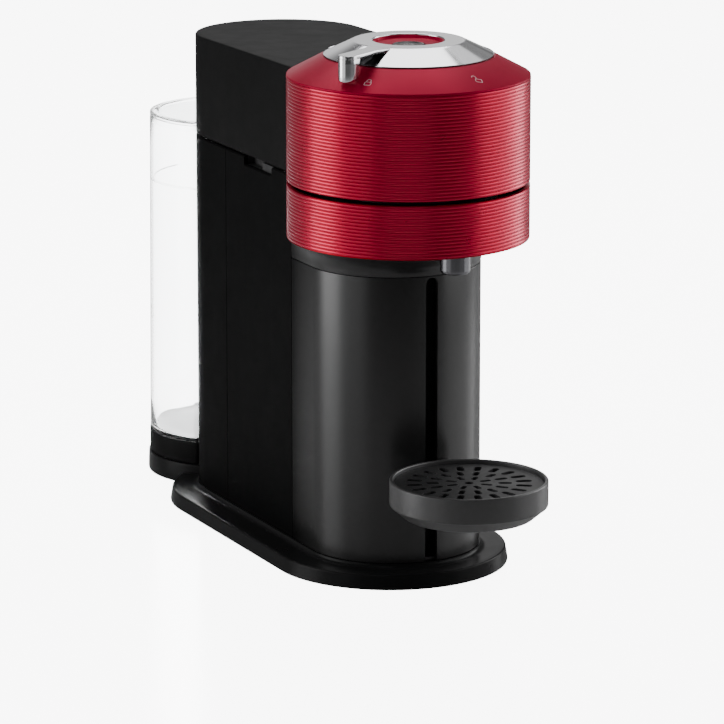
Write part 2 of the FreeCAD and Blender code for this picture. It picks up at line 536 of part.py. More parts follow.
# ================================================================ cup support
carr = fuse([box(-6.9, 6.9, -27.0, -19.4, 38, 68), box(-2.9, 2.9, -40, -27.0, 42, 66)])
neck_arm = Part.makeLoft([
    Part.Wire(Part.makePolygon([V(-2.9, -33.2, 44), V(2.9, -33.2, 44), V(2.9, -33.2, 66), V(-2.9, -33.2, 66), V(-2.9, -33.2, 44)])),
    Part.Wire(Part.makePolygon([V(-15, -46, 50), V(15, -46, 50), V(15, -46, 68), V(-15, -46, 68), V(-15, -46, 50)]))], True, True)
carr = carr.common(box(-20, 20, -36, 0, 0, 300))
arm_s = fuse([neck_arm])
cup_out = revolve([(0, 50.4), (30, 50.4), (37, 52.6), (44.6, CUP_RIM_Z), (CUP_R, CUP_RIM_Z + 0.8), (CUP_R, CUP_TOP - 0.8),
                   (CUP_R - 0.6, CUP_TOP), (0, CUP_TOP)], 0, CUP_Y)
cup_in = revolve([(0, 54.0), (34, 54.0), (41.4, 60.0), (CUP_R - 2.2, 62.0), (CUP_R - 2.2, CUP_TOP + 5), (0, CUP_TOP + 5)], 0, CUP_Y)
support = fuse([cup_out, arm_s]).cut(cup_in)
put("cup_support", support)
carr = carr.cut(support)
put("cup_carriage", max(carr.Solids, key=lambda s: s.Volume))
put("guide_pads", Part.makeCompound([box(-6.9, 6.9, -19.4, -18.9, z, z + 6) for z in (40, 60)]))
pan = revolve([(0, 60.6), (41.5, 60.6), (42.7, 61.8), (42.7, 68.6), (41.5, 68.6), (41.5, 62.0), (0, 62.0)], 0, CUP_Y)
put("drip_pan", pan)
grid = fuse([cyl(42.4, 68.9, 71.3, 0, CUP_Y)])
cuts = [cyl(2.6, 60, 80, 0, CUP_Y)]
for rr, n, ln, wd in ((10.5, 8, 7.0, 3.2), (20.5, 14, 8.0, 3.6), (31.5, 20, 9.5, 4.2)):
    for i in range(n):
        a = 360.0 / n * i
        b = fuse([box(rr - ln / 2 + wd / 2, rr + ln / 2 - wd / 2, -wd / 2, wd / 2, 60, 80),
                  cyl(wd / 2, 60, 80, rr - ln / 2 + wd / 2, 0), cyl(wd / 2, 60, 80, rr + ln / 2 - wd / 2, 0)])
        b.translate(V(0, CUP_Y, 0))
        cuts.append(turn_z(b, a, 0, CUP_Y))
grid = grid.cut(Part.makeCompound(cuts))
put("drip_grid", grid)

# ================================================================ water tank
t_out = Part.makeCone(TANK_R0, TANK_R1, TANK_Z1 - TRING_Z1, V(0, TANK_Y, TRING_Z1), UP).cut(
    cyl(TANK_FRONT, 0, 400, 0, BODY_YR))
dr = (TANK_R0 - TANK_R1) / (TANK_Z1 - TRING_Z1)
t_in = Part.makeCone(TANK_R0 - TANK_T, TANK_R1 - TANK_T - dr * 4, TANK_Z1 - TRING_Z1 + 4, V(0, TANK_Y, TRING_Z1 + TANK_T), UP).cut(
    cyl(TANK_FRONT + TANK_T, 0, 400, 0, BODY_YR))
VALVE = (0, TANK_Y + 6)
tank = t_out.cut(t_in).cut(cyl(9.0, 0, 60, *VALVE))
put("tank_shell", tank)
tr = crescent(51.3, TANK_FRONT, DOCK_Z1 + 0.3, TRING_Z1).cut(crescent(48.6, TANK_FRONT + 2.6, 0, TRING_Z1 - 2.6))
tr = tr.cut(cyl(9.0, 0, 60, *VALVE))
put("tank_base_ring", tr)
put("tank_valve", revolve([(4.5, 20.4), (9.0, 20.4), (9.0, 33.2), (11.5, 33.2 - 1.5 + 0.0), (11.5, 34.4), (4.5, 34.4)][0:3] +
                          [(9.0, 34.4), (4.5, 34.4)], *VALVE))
put("valve_poppet", revolve([(0, 22.2), (3.9, 22.2), (3.9, 24.4), (1.6, 25.4), (1.6, 34.8), (6.8, 34.8), (6.8, 36.6), (0, 36.6)], *VALVE))
tl = crescent(TANK_R1 - 0.1, TANK_FRONT, TANK_Z1 + 0.4, TLID_Z1)
tl = tl.cut(crescent(44.0, TANK_FRONT + 5.4, TLID_Z1 - 0.7, TLID_Z1 + 5))
lip = crescent(TANK_R1 - TANK_T - 0.5, TANK_FRONT + TANK_T + 0.5, TANK_Z1 - 4.0, TANK_Z1 + 0.4).cut(
    crescent(TANK_R1 - TANK_T - 2.1, TANK_FRONT + TANK_T + 2.1, 0, 400))
put("tank_lid", fuse([tl, lip]))

print(len(ALL), "pieces")
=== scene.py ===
import bpy, bmesh, math, json
from mathutils import Vector, Matrix


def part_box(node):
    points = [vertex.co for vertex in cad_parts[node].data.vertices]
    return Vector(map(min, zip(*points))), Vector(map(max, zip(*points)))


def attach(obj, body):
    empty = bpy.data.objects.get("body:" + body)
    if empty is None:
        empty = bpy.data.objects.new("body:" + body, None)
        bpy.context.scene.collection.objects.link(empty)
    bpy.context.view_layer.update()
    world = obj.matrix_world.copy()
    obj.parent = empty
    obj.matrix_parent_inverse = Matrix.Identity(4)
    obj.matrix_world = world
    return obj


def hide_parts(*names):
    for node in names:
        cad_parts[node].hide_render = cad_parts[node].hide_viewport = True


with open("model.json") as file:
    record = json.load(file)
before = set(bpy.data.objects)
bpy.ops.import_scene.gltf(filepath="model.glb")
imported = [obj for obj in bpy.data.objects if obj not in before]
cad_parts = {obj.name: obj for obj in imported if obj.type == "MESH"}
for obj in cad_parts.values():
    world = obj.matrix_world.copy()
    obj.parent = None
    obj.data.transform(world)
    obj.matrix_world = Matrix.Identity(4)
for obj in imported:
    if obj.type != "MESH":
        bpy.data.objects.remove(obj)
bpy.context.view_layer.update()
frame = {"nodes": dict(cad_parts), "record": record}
NODES = frame["nodes"]

# The head axis in the row frame, from the CAD.
_lo, _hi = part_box("upper_red_band")
AX = 0.5 * (_lo[0] + _hi[0]) * 1000.0
AY = 0.5 * (_lo[1] + _hi[1]) * 1000.0
HEAD_R = 0.5 * (_hi[0] - _lo[0]) * 1000.0
UP_Z0 = _lo[2] * 1000.0
_lo, _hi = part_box("lower_red_band")
LOW_Z0, LOW_Z1 = _lo[2] * 1000.0, _hi[2] * 1000.0
_lo, _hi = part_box("column_front")
HW = _hi[0] * 1000.0                       # body half width
BODY_Z0, COL_Z1 = _lo[2] * 1000.0, _hi[2] * 1000.0
YF = _lo[1] * 1000.0 + HW - AY             # centre of the front curve
_lo, _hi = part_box("capsule_container")
YR = _hi[1] * 1000.0 - HW - AY             # centre of the rear curve
BODY_Z1 = _hi[2] * 1000.0
SEAM_R = _lo[1] * 1000.0 - AY
_lo, _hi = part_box("side_panel_left")
SEAM_F = _lo[1] * 1000.0 - AY
RIM_Z, CONE_R, CONE_Z = 294.2, 49.6, 305.1
TANK_Y = 250.8
TANK_FRONT = HW + 4.6
LEVER_DEG = 58.8

# ------------------------------------------------------------------ mesh helpers (mm, head axis at 0,0)


def make(name, verts, faces, mat, body, replaces=(), angle=32.0, mats=None):
    me = bpy.data.meshes.new(name)
    me.from_pydata([((x + AX) / 1000.0, (y + AY) / 1000.0, z / 1000.0) for x, y, z in verts], [], faces)
    me.validate()
    bm = bmesh.new()
    bm.from_mesh(me)
    bmesh.ops.remove_doubles(bm, verts=bm.verts, dist=1e-6)
    bmesh.ops.dissolve_degenerate(bm, edges=bm.edges, dist=1e-6)
    bmesh.ops.recalc_face_normals(bm, faces=bm.faces)
    bm.to_mesh(me)
    bm.free()
    me.shade_smooth()
    me.set_sharp_from_angle(angle=math.radians(angle))
    ob = bpy.data.objects.new(name, me)
    bpy.context.scene.collection.objects.link(ob)
    if mat:
        me.materials.append(mat)
    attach(ob, body)
    if replaces:
        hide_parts(*replaces)
    return ob


class Geo:
    """Collects closed meshes into one piece."""

    def __init__(self):
        self.v, self.f = [], []

    def add(self, verts, faces, fn=None):
        o = len(self.v)
        self.v += [fn(p) for p in verts] if fn else list(verts)
        self.f += [[i + o for i in f] for f in faces]
        return self


def rnd(poly, n=4):
    """Polygon of (a, b, radius) with its corners rounded."""
    out = []
    m = len(poly)
    for i in range(m):
        x, y, r = poly[i]
        if r <= 0:
            out.append((x, y))
            continue
        p = Vector((x, y))
        a = Vector(poly[i - 1][:2]) - p
        b = Vector(poly[(i + 1) % m][:2]) - p
        la, lb = a.length, b.length
        a.normalize()
        b.normalize()
        ang = a.angle(b)
        if ang < 0.02 or ang > math.pi - 0.02:
            out.append((x, y))
            continue
        t = min(r / math.tan(ang / 2), 0.49 * la, 0.49 * lb)
        rr = t * math.tan(ang / 2)
        c = p + (a + b).normalized() * (rr / math.sin(ang / 2))
        s, e = p + a * t, p + b * t
        a0 = math.atan2(s.y - c.y, s.x - c.x)
        a1 = math.atan2(e.y - c.y, e.x - c.x)
        d = (a1 - a0 + math.pi) % (2 * math.pi) - math.pi
        for k in range(n + 1):
            q = a0 + d * k / n
            out.append((c.x + rr * math.cos(q), c.y + rr * math.sin(q)))
    return out


def revolve(prof, n=192, a0=0.0, a1=360.0, cx=0.0, cy=0.0):
    full = abs(a1 - a0 - 360.0) < 1e-6
    v, f = [], []
    m = len(prof)
    k = n if full else n + 1
    for i in range(k):
        a = math.radians(a0 + (a1 - a0) * i / n)
        c, s = math.cos(a), math.sin(a)
        v += [(cx + r * c, cy + r * s, z) for r, z in prof]
    for i in range(n):
        i2 = (i + 1) % k
        for j in range(m):
            j2 = (j + 1) % m
            f.append([i * m + j, i2 * m + j, i2 * m + j2, i * m + j2])
    if not full:
        f.append(list(range(m)))
        f.append([(k - 1) * m + j for j in range(m)][::-1])
    return v, f


def rings(loops, cap0=True, cap1=True):
    """Closed loops of equal length stacked into one skin, capped at both ends."""
    m = len(loops[0])
    v, f = [], []
    for lp in loops:
        v += lp
    for i in range(len(loops) - 1):
        for j in range(m):
            j2 = (j + 1) % m
            f.append([i * m + j, i * m + j2, (i + 1) * m + j2, (i + 1) * m + j])
    if cap0:
        f.append(list(range(m))[::-1])
    if cap1:
        f.append([(len(loops) - 1) * m + j for j in range(m)])
    return v, f


def stadium(hw, y0, y1, z, n=48):
    out = []
    for i in range(n + 1):
        a = math.pi + math.pi * i / n
        out.append((hw * math.cos(a), y0 + hw * math.sin(a), z))
    for i in range(1, 12):
        out.append((hw, y0 + (y1 - y0) * i / 12.0, z))
    for i in range(n + 1):
        a = math.pi * i / n
        out.append((hw * math.cos(a), y1 + hw * math.sin(a), z))
    for i in range(1, 12):
        out.append((-hw, y1 + (y0 - y1) * i / 12.0, z))
    return out


def sweep(path, section):
    """path: (x, y, nx, ny) points; section(i) gives the closed (offset, z) outline there."""
    v, f = [], []
    k = len(path)
    secs = [section(i) for i in range(k)]
    m = len(secs[0])
    for (x, y, nx, ny), sec in zip(path, secs):
        v += [(x + nx * o, y + ny * o, z) for o, z in sec]
    for i in range(k - 1):
        for j in range(m):
            j2 = (j + 1) % m
            f.append([i * m + j, i * m + j2, (i + 1) * m + j2, (i + 1) * m + j])
    f.append(list(range(m))[::-1])
    f.append([(k - 1) * m + j for j in range(m)])
    return v, f


def wall_section(z0, z1, t, r0=0.35, r1=0.35, inset=0.0):
    return rnd([(0 - inset, z0 + inset, r0), (0 - inset, z1 - inset, r1), (-t + inset, z1 - inset, 0.3), (-t + inset, z0 + inset, 0.3)], 4)


def path_line(x0, y0, x1, y1, nx, ny, n):
    return [(x0 + (x1 - x0) * i / n, y0 + (y1 - y0) * i / n, nx, ny) for i in range(n + 1)]


def path_arc(cx, cy, r, d0, d1, n):
    out = []
    for i in range(n + 1):
        a = math.radians(d0 + (d1 - d0) * i / n)
        out.append((cx + r * math.cos(a), cy + r * math.sin(a), math.cos(a), math.sin(a)))
    return out


def soft_ends(path, d=0.35):
    """Adds a point d before each end, so that the end edge can be eased."""
    def toward(a, b, dist):
        L = math.hypot(b[0] - a[0], b[1] - a[1])
        t = min(0.5, dist / max(L, 1e-9))
        return tuple(a[i] + (b[i] - a[i]) * t for i in range(4))
    return [path[0], toward(path[0], path[1], d)] + path[1:-1] + [toward(path[-1], path[-2], d), path[-1]]


def box_geo(x0, x1, y0, y1, z0, z1):
    v = [(x, y, z) for z in (z0, z1) for y in (y0, y1) for x in (x0, x1)]
    f = [[0, 2, 3, 1], [4, 5, 7, 6], [0, 1, 5, 4], [2, 6, 7, 3], [0, 4, 6, 2], [1, 3, 7, 5]]
    return v, f


def crescent(ro, rf, z, n=72, m=40, soft=3.0):
    """Outline of the round tank with its concave front, horns rounded."""
    d = TANK_Y - YR
    a = (d * d + rf * rf - ro * ro) / (2 * d)
    h = math.sqrt(max(rf * rf - a * a, 1e-6))
    py = YR + a
    s_out = math.atan2(py - TANK_Y, h)
    s_in = math.atan2(py - YR, h)
    co, ci = soft / ro, soft / rf
    out = []
    for i in range(n + 1):
        q = (s_out + co) + (math.pi - 2 * (s_out + co)) * i / n
        out.append((ro * math.cos(q), TANK_Y + ro * math.sin(q), z))
    inner = []
    for i in range(m + 1):
        q = (math.pi - s_in - ci) + (2 * (s_in + ci) - math.pi) * i / m
        inner.append((rf * math.cos(q), YR + rf * math.sin(q), z))
    def bez(p, c, q):
        r = []
        for k in range(1, 7):
            t = k / 7.0
            r.append(tuple((1 - t) ** 2 * p[w] + 2 * t * (1 - t) * c[w] + t * t * q[w] for w in range(2)) + (z,))
        return r
    left = (-h, py)
    right = (h, py)
    return out + bez(out[-1], left, inner[0]) + inner + bez(inner[-1], right, out[0])


# ------------------------------------------------------------------ materials


def new_mat(name):
    m = bpy.data.materials.new(name)
    m.use_nodes = True
    nt = m.node_tree
    nt.nodes.clear()
    out = nt.nodes.new("ShaderNodeOutputMaterial")
    bs = nt.nodes.new("ShaderNodeBsdfPrincipled")
    nt.links.new(bs.outputs[0], out.inputs[0])
    tc = nt.nodes.new("ShaderNodeTexCoord")
    return m, nt, bs, tc


def noise(nt, tc, scale, detail=3.0, rough=0.55, vec=(1, 1, 1)):
    mp = nt.nodes.new("ShaderNodeMapping")
    mp.inputs["Scale"].default_value = vec
    nt.links.new(tc.outputs["Object"], mp.inputs[0])
    n = nt.nodes.new("ShaderNodeTexNoise")
    n.inputs["Scale"].default_value = scale
    n.inputs["Detail"].default_value = detail
    n.inputs["Roughness"].default_value = rough
    nt.links.new(mp.outputs[0], n.inputs[0])
    return n.outputs["Fac"]


def remap(nt, fac, a, b, lo=0.3, hi=0.7):
    r = nt.nodes.new("ShaderNodeMapRange")
    r.inputs["From Min"].default_value = lo
    r.inputs["From Max"].default_value = hi
    r.inputs["To Min"].default_value = a
    r.inputs["To Max"].default_value = b
    nt.links.new(fac, r.inputs["Value"])
    return r.outputs[0]


def mixcol(nt, fac, a, b):
    m = nt.nodes.new("ShaderNodeMix")
    m.data_type = "RGBA"
    m.inputs[6].default_value = (*a, 1)
    m.inputs[7].default_value = (*b, 1)
    nt.links.new(fac, m.inputs[0])
    return m.outputs[2]


def bump(nt, bs, height, dist, strength=1.0, chain=None):
    b = nt.nodes.new("ShaderNodeBump")
    b.inputs["Distance"].default_value = dist
    b.inputs["Strength"].default_value = strength
    nt.links.new(height, b.inputs["Height"])
    if chain is not None:
        nt.links.new(chain, b.inputs["Normal"])
    nt.links.new(b.outputs[0], bs.inputs["Normal"])
    return b.outputs[0]


def plastic(name, c0, c1, rough, dr, grain_scale, grain_dist, metallic=0.0, coat=0.0, coat_rough=0.05, spec=0.5,
            wave_scale=18.0, wave_dist=0.0, painted_sheen_run=None):
    m, nt, bs, tc = new_mat(name)
    bs.inputs["Metallic"].default_value = metallic
    bs.inputs["Specular IOR Level"].default_value = spec
    if painted_sheen_run:
        # painted sheen: the specular level and the base colour rise from the seam with the flat side towards the front
        # curve and stand in for a highlight
        pos = nt.nodes.new("ShaderNodeSeparateXYZ")
        nt.links.new(tc.outputs["Object"], pos.inputs[0])
        nt.links.new(remap(nt, pos.outputs["Y"], painted_sheen_run[3], painted_sheen_run[1], painted_sheen_run[2], painted_sheen_run[0]), bs.inputs["Specular IOR Level"])
        painted_sheen_fac = remap(nt, pos.outputs["Y"], 1.0, 0.0, painted_sheen_run[2], painted_sheen_run[0])
    if coat:
        bs.inputs["Coat Weight"].default_value = coat
        bs.inputs["Coat Roughness"].default_value = coat_rough
    # with painted sheen given, the painted sheen sets the base colour; otherwise a random tone does
    tone_and_painted_sheen = painted_sheen_fac if painted_sheen_run else remap(nt, noise(nt, tc, 14.0), 0, 1, 0.35, 0.65)
    nt.links.new(mixcol(nt, tone_and_painted_sheen, c0, c1), bs.inputs["Base Color"])
    nt.links.new(remap(nt, noise(nt, tc, 60.0, 0.0 if painted_sheen_run else 5.0), rough - dr, rough + dr), bs.inputs["Roughness"])
    ch = None
    if wave_dist:
        ch = bump(nt, bs, noise(nt, tc, wave_scale, 1.0), wave_dist)
    bump(nt, bs, noise(nt, tc, grain_scale, 2.0, 0.6), grain_dist, 1.0, ch)
    return m


M = {}
M["red_shell"] = plastic("red_metallic_lacquer", (0.54, 0.000, 0.040), (0.60, 0.000, 0.048), 0.30, 0.03, 5200.0, 0.000006,
                         metallic=0.74, coat=0.26, coat_rough=0.12, spec=0.4)
# a darker, less glossy copy of the red lacquer for the up-facing cone and dish: the lower colour is painted shade that
# holds the red down under the top light
M["red_smooth"] = plastic("red_cone_and_dish_painted_shade", (0.37, 0.000, 0.030), (0.41, 0.000, 0.035), 0.36, 0.03, 5200.0, 0.000005,
                          metallic=0.30, coat=0.0, coat_rough=0.15, spec=0.05)
# painted sheen on the column and neck: lighter and more specular towards the front curve, darker at the seam with the
# flat side
M["black_satin"] = plastic("black_semi_gloss_painted_sheen", (0.0038, 0.0038, 0.0040), (0.0175, 0.0175, 0.0178), 0.29, 0.004, 900.0, 0.0000002, spec=0.62,
                           painted_sheen_run=((SEAM_F - 3.0 + AY) / 1000.0, 0.06, (YF - 14.0 + AY) / 1000.0, 0.60))
M["black_side"] = plastic("black_side_panel", (0.0034, 0.0034, 0.0036), (0.0044, 0.0044, 0.0046), 0.52, 0.03, 2600.0, 0.000008, spec=0.03)
M["black_matte"] = plastic("black_fine_grain", (0.0036, 0.0036, 0.0038), (0.0048, 0.0048, 0.0050), 0.56, 0.03, 2400.0, 0.000018, spec=0.08)
M["base_black"] = plastic("black_gloss_base", (0.0095, 0.0095, 0.0098), (0.0115, 0.0115, 0.0118), 0.30, 0.03, 1800.0, 0.000003, spec=0.07)
M["black_gloss"] = plastic("black_gloss_button", (0.006, 0.006, 0.0065), (0.008, 0.008, 0.0085), 0.22, 0.03, 1800.0, 0.000003, spec=0.12)
M["tray_grey"] = plastic("dark_grey_satin", (0.080, 0.080, 0.081), (0.094, 0.094, 0.095), 0.38, 0.04, 3800.0, 0.000010, metallic=0.4, spec=0.4)
M["black_inner"] = plastic("black_inner_plastic", (0.018, 0.018, 0.019), (0.024, 0.024, 0.025), 0.5, 0.05, 1500.0, 0.00002)
M["inner_plastic"] = plastic("grey_inner_plastic", (0.10, 0.10, 0.105), (0.125, 0.125, 0.13), 0.45, 0.05, 1500.0, 0.00002)
M["white_plastic"] = plastic("white_inner_plastic", (0.66, 0.66, 0.64), (0.72, 0.72, 0.70), 0.4, 0.05, 1500.0, 0.00001)
M["seal_rubber"] = plastic("black_rubber", (0.016, 0.016, 0.016), (0.024, 0.024, 0.024), 0.75, 0.06, 1600.0, 0.00003, spec=0.3)
M["silicone"] = plastic("pale_silicone", (0.62, 0.62, 0.58), (0.70, 0.70, 0.66), 0.42, 0.05, 900.0, 0.00001)
M["board_green"] = plastic("circuit_board", (0.012, 0.09, 0.035), (0.018, 0.13, 0.05), 0.35, 0.05, 700.0, 0.00004)


def metal(name, col, rough, dr, vec=(1, 1, 1), scale=400.0, dist=0.000004):
    m, nt, bs, tc = new_mat(name)
    bs.inputs["Metallic"].default_value = 1.0
    c1 = tuple(min(1.0, c * 1.06) for c in col)
    nt.links.new(mixcol(nt, remap(nt, noise(nt, tc, 30.0), 0, 1), col, c1), bs.inputs["Base Color"])
    nt.links.new(remap(nt, noise(nt, tc, 120.0, 4.0, 0.6, vec), rough - dr, rough + dr), bs.inputs["Roughness"])
    bump(nt, bs, noise(nt, tc, scale, 2.0, 0.5, vec), dist)
    return m


M["chrome"] = metal("polished_chrome", (0.80, 0.80, 0.82), 0.13, 0.015, scale=60.0, dist=0.000003)
M["dark_chrome"] = metal("dark_chrome", (0.17, 0.17, 0.18), 0.10, 0.02, scale=60.0, dist=0.000002)
# dark grey metal for the chrome channel floor: painted shade of the recess
M["channel_painted_shade"] = metal("channel_painted_shade", (0.11, 0.11, 0.115), 0.34, 0.03, scale=60.0, dist=0.000002)
M["steel"] = metal("brushed_steel", (0.50, 0.50, 0.52), 0.28, 0.06, (1, 1, 12), 700.0, 0.00001)
M["aluminium"] = metal("cast_aluminium", (0.62, 0.63, 0.64), 0.42, 0.08, (1, 1, 1), 900.0, 0.00003)


def clear(name, tint, rough, ior):
    m, nt, bs, tc = new_mat(name)
    bs.inputs["Base Color"].default_value = (*tint, 1)
    bs.inputs["Transmission Weight"].default_value = 1.0
    bs.inputs["IOR"].default_value = ior
    bs.inputs["Alpha"].default_value = 0.97
    nt.links.new(remap(nt, noise(nt, tc, 40.0), rough, rough + 0.03), bs.inputs["Roughness"])
    bump(nt, bs, noise(nt, tc, 26.0, 1.0), 0.00002)
    return m


M["clear_tank"] = clear("clear_tank_plastic", (0.97, 0.98, 0.985), 0.02, 1.45)
M["clear_lid"] = clear("clear_tank_lid", (0.96, 0.97, 0.975), 0.03, 1.45)


def mark(name, col, rough=0.4):
    m, nt, bs, tc = new_mat(name)
    nt.links.new(mixcol(nt, remap(nt, noise(nt, tc, 200.0), 0, 1), col, tuple(min(1, c * 1.1) for c in col)), bs.inputs["Base Color"])
    nt.links.new(remap(nt, noise(nt, tc, 300.0), rough - 0.05, rough + 0.05), bs.inputs["Roughness"])
    return m


M["mark_pink"] = mark("printed_mark", (0.82, 0.52, 0.56))
M["mark_white"] = mark("button_mark", (0.75, 0.75, 0.75))

# CAD nodes that stay: eased edges and the right finish
FINISH = {
    "red_shell": M["red_shell"], "black_satin": M["black_side"], "black_matte": M["black_inner"], "base_black": M["base_black"],
    "tray_grey": M["tray_grey"], "chrome": M["chrome"], "clear_tank": M["clear_tank"], "black_gloss": M["black_gloss"],
    "seal_rubber": M["seal_rubber"], "steel": M["steel"], "aluminium": M["aluminium"], "inner_plastic": M["inner_plastic"],
    "board_green": M["board_green"], "white_plastic": M["white_plastic"], "silicone": M["silicone"],
}
for sp in frame["record"]["subparts"]:
    ob = NODES[sp["node"]]
    mt = FINISH[sp["material_slot"]]
    if not ob.material_slots:
        ob.data.materials.append(mt)
    for s in ob.material_slots:
        s.material = mt


def ease(node, width=0.3, seg=2):
    b = NODES[node].modifiers.new("eased_edges", "BEVEL")
    b.width = width / 1000.0
    b.segments = seg
    b.limit_method = "ANGLE"
    b.angle_limit = math.radians(40)
    b.harden_normals = False
    b.use_clamp_overlap = True

# ------------------------------------------------------------------ red head


def rib_profile(z0, z1, inner, top_r=0.5, bottom_r=0.5, open_top=False):
    pitch, depth, seg = 2.0, 0.5, 8
    n = int(round((z1 - z0 - 0.8) / pitch))
    m = ((z1 - z0) - n * pitch) / 2.0
    pts = [(inner, z0), (HEAD_R - bottom_r, z0), (HEAD_R - 0.15 * bottom_r, z0 + 0.15)]
    for i in range(n):
        a = z0 + m + i * pitch
        for k in range(seg):
            u = k / seg
            # a rounded ridge with a narrow groove under it
            g = math.sin(math.pi * u) ** 0.62
            pts.append((HEAD_R - depth * (1 - g), a + pitch * u))
    pts.append((HEAD_R - depth, z0 + m + n * pitch))
    if not open_top:
        pts += [(HEAD_R - 0.15 * top_r, z1 - 0.15), (HEAD_R - top_r, z1)]
        pts.append((inner, z1))
    return pts


A_CUT = math.degrees(math.atan2(47.5, HW + 0.1))
g = Geo()
g.add(*revolve(rib_profile(UP_Z0, RIM_Z - 1.0, HEAD_R - 2.4), 288, 180 - A_CUT, 360 + A_CUT))
band_up = make("upper_red_band_ribbed", g.v, g.f, M["red_shell"], "lid", ["upper_red_band"], angle=50)
cone = rnd([(HEAD_R - 2.4, RIM_Z - 1.0, 0), (HEAD_R - 0.12, RIM_Z - 1.0, 0.1), (HEAD_R - 0.02, RIM_Z + 0.02, 0.9), (CONE_R, CONE_Z, 0.25),
            (CONE_R - 2.0, CONE_Z - 0.1, 0.2), (CONE_R - 2.0, CONE_Z - 2.4, 0.2)], 6)
cv, cf = revolve(cone, 288)
make("red_cone", cv, cf, M["red_smooth"], "lid", angle=40)
g = Geo()
g.add(*revolve(rib_profile(LOW_Z0, LOW_Z1, HEAD_R - 2.4), 288, 180 - A_CUT, 360 + A_CUT))
make("lower_red_band_ribbed", g.v, g.f, M["red_shell"], "machine", ["lower_red_band"], angle=50)

# ------------------------------------------------------------------ column front shell with its slot
T = 2.4
SL, SLT = 3.75, 177.25
pth = path_line(-HW, SEAM_F - 0.25, -HW, YF, -1, 0, 6)
half = math.degrees(math.asin(SL / HW))
half2 = math.degrees(math.asin((SL + 0.12) / HW))
pth += path_arc(0, YF, HW, 180, 270 - half2, 60)[1:]
i_full = len(pth) - 1
pth += path_arc(0, YF, HW, 270 - half, 270 + half, 14)
i_slot = len(pth) - 1
pth += path_arc(0, YF, HW, 270 + half2, 360, 60)
pth += path_line(HW, YF, HW, SEAM_F - 0.25, 1, 0, 6)[1:]
pth = soft_ends(pth)
n_p = len(pth)


def front_sec(i):
    x = pth[i][0]
    y = pth[i][1]
    z0 = BODY_Z0
    if y < YF and abs(x) <= SL + 0.03:
        z0 = SLT + math.sqrt(max(0.0, (SL * 1.0005) ** 2 - x * x)) - 0.0
        z0 = min(z0, COL_Z1 - 0.5)
        return wall_section(z0, COL_Z1, T, 0.12, 0.35)
    return wall_section(z0, COL_Z1, T, 0.35, 0.35, 0.3 if i in (0, n_p - 1) else 0.0)


v, f = sweep(pth, front_sec)
make("column_front_shell", v, f, M["black_satin"], "machine", ["column_front"], angle=30)

# ------------------------------------------------------------------ flared neck under the head
_lo, _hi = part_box("head_neck")
NZ0, NZ1 = _lo[2] * 1000.0, _hi[2] * 1000.0
NECK_R = _hi[0] * 1000.0


def neck_row(t, inset, z, n=120):
    yc = YF * (1 - t)
    r = HW + (NECK_R - HW) * t - inset
    px, py = HW - inset, SEAM_F - 0.25
    dx, dy = px, py - yc
    d = math.hypot(dx, dy)
    a = math.atan2(dy, dx) - math.acos(min(1.0, r / d))
    pts = []
    tx, ty = r * math.cos(a), yc + r * math.sin(a)
    for i in range(8):
        s = i / 8.0
        pts.append((-px + (-tx + px) * s, py + (ty - py) * s, z))
    a_l = math.pi - a
    for i in range(n + 1):
        q = a_l + (2 * math.pi + a - a_l) * i / n
        pts.append((r * math.cos(q), yc + r * math.sin(q), z))
    for i in range(1, 9):
        s = i / 8.0
        pts.append((tx + (px - tx) * s, ty + (py - ty) * s, z))
    return pts


def neck_t(u):
    return 0.004 + 0.996 * (0.55 * (1 - math.sqrt(max(0.0, 1 - u * u))) + 0.45 * u * u)


outer_rows, inner_rows = [], []
NR = 26
for i in range(NR + 1):
    u = i / NR
    ue = 1 - (1 - u) ** 1.6
    z = NZ0 + (NZ1 - NZ0) * ue
    ins = 0.0
    if i == 0:
        ins = 0.30
    elif i == 1:
        ins = 0.08
    outer_rows.append(neck_row(neck_t(ue), ins, z))
    inner_rows.append(neck_row(neck_t(ue), 2.6, z))
# open strip: outer rows up, inner rows down, joined as a closed wall
v, f = [], []
rows = outer_rows + inner_rows[::-1]
m = len(rows[0])
k = len(rows)
for r in rows:
    v += r
for i in range(k):
    i2 = (i + 1) % k
    for j in range(m - 1):
        f.append([i * m + j, i * m + j + 1, i2 * m + j + 1, i2 * m + j])
f.append([i * m for i in range(k)])
f.append([i * m + m - 1 for i in range(k)][::-1])
make("head_neck_flare", v, f, M["black_satin"], "machine", ["head_neck"], angle=40)

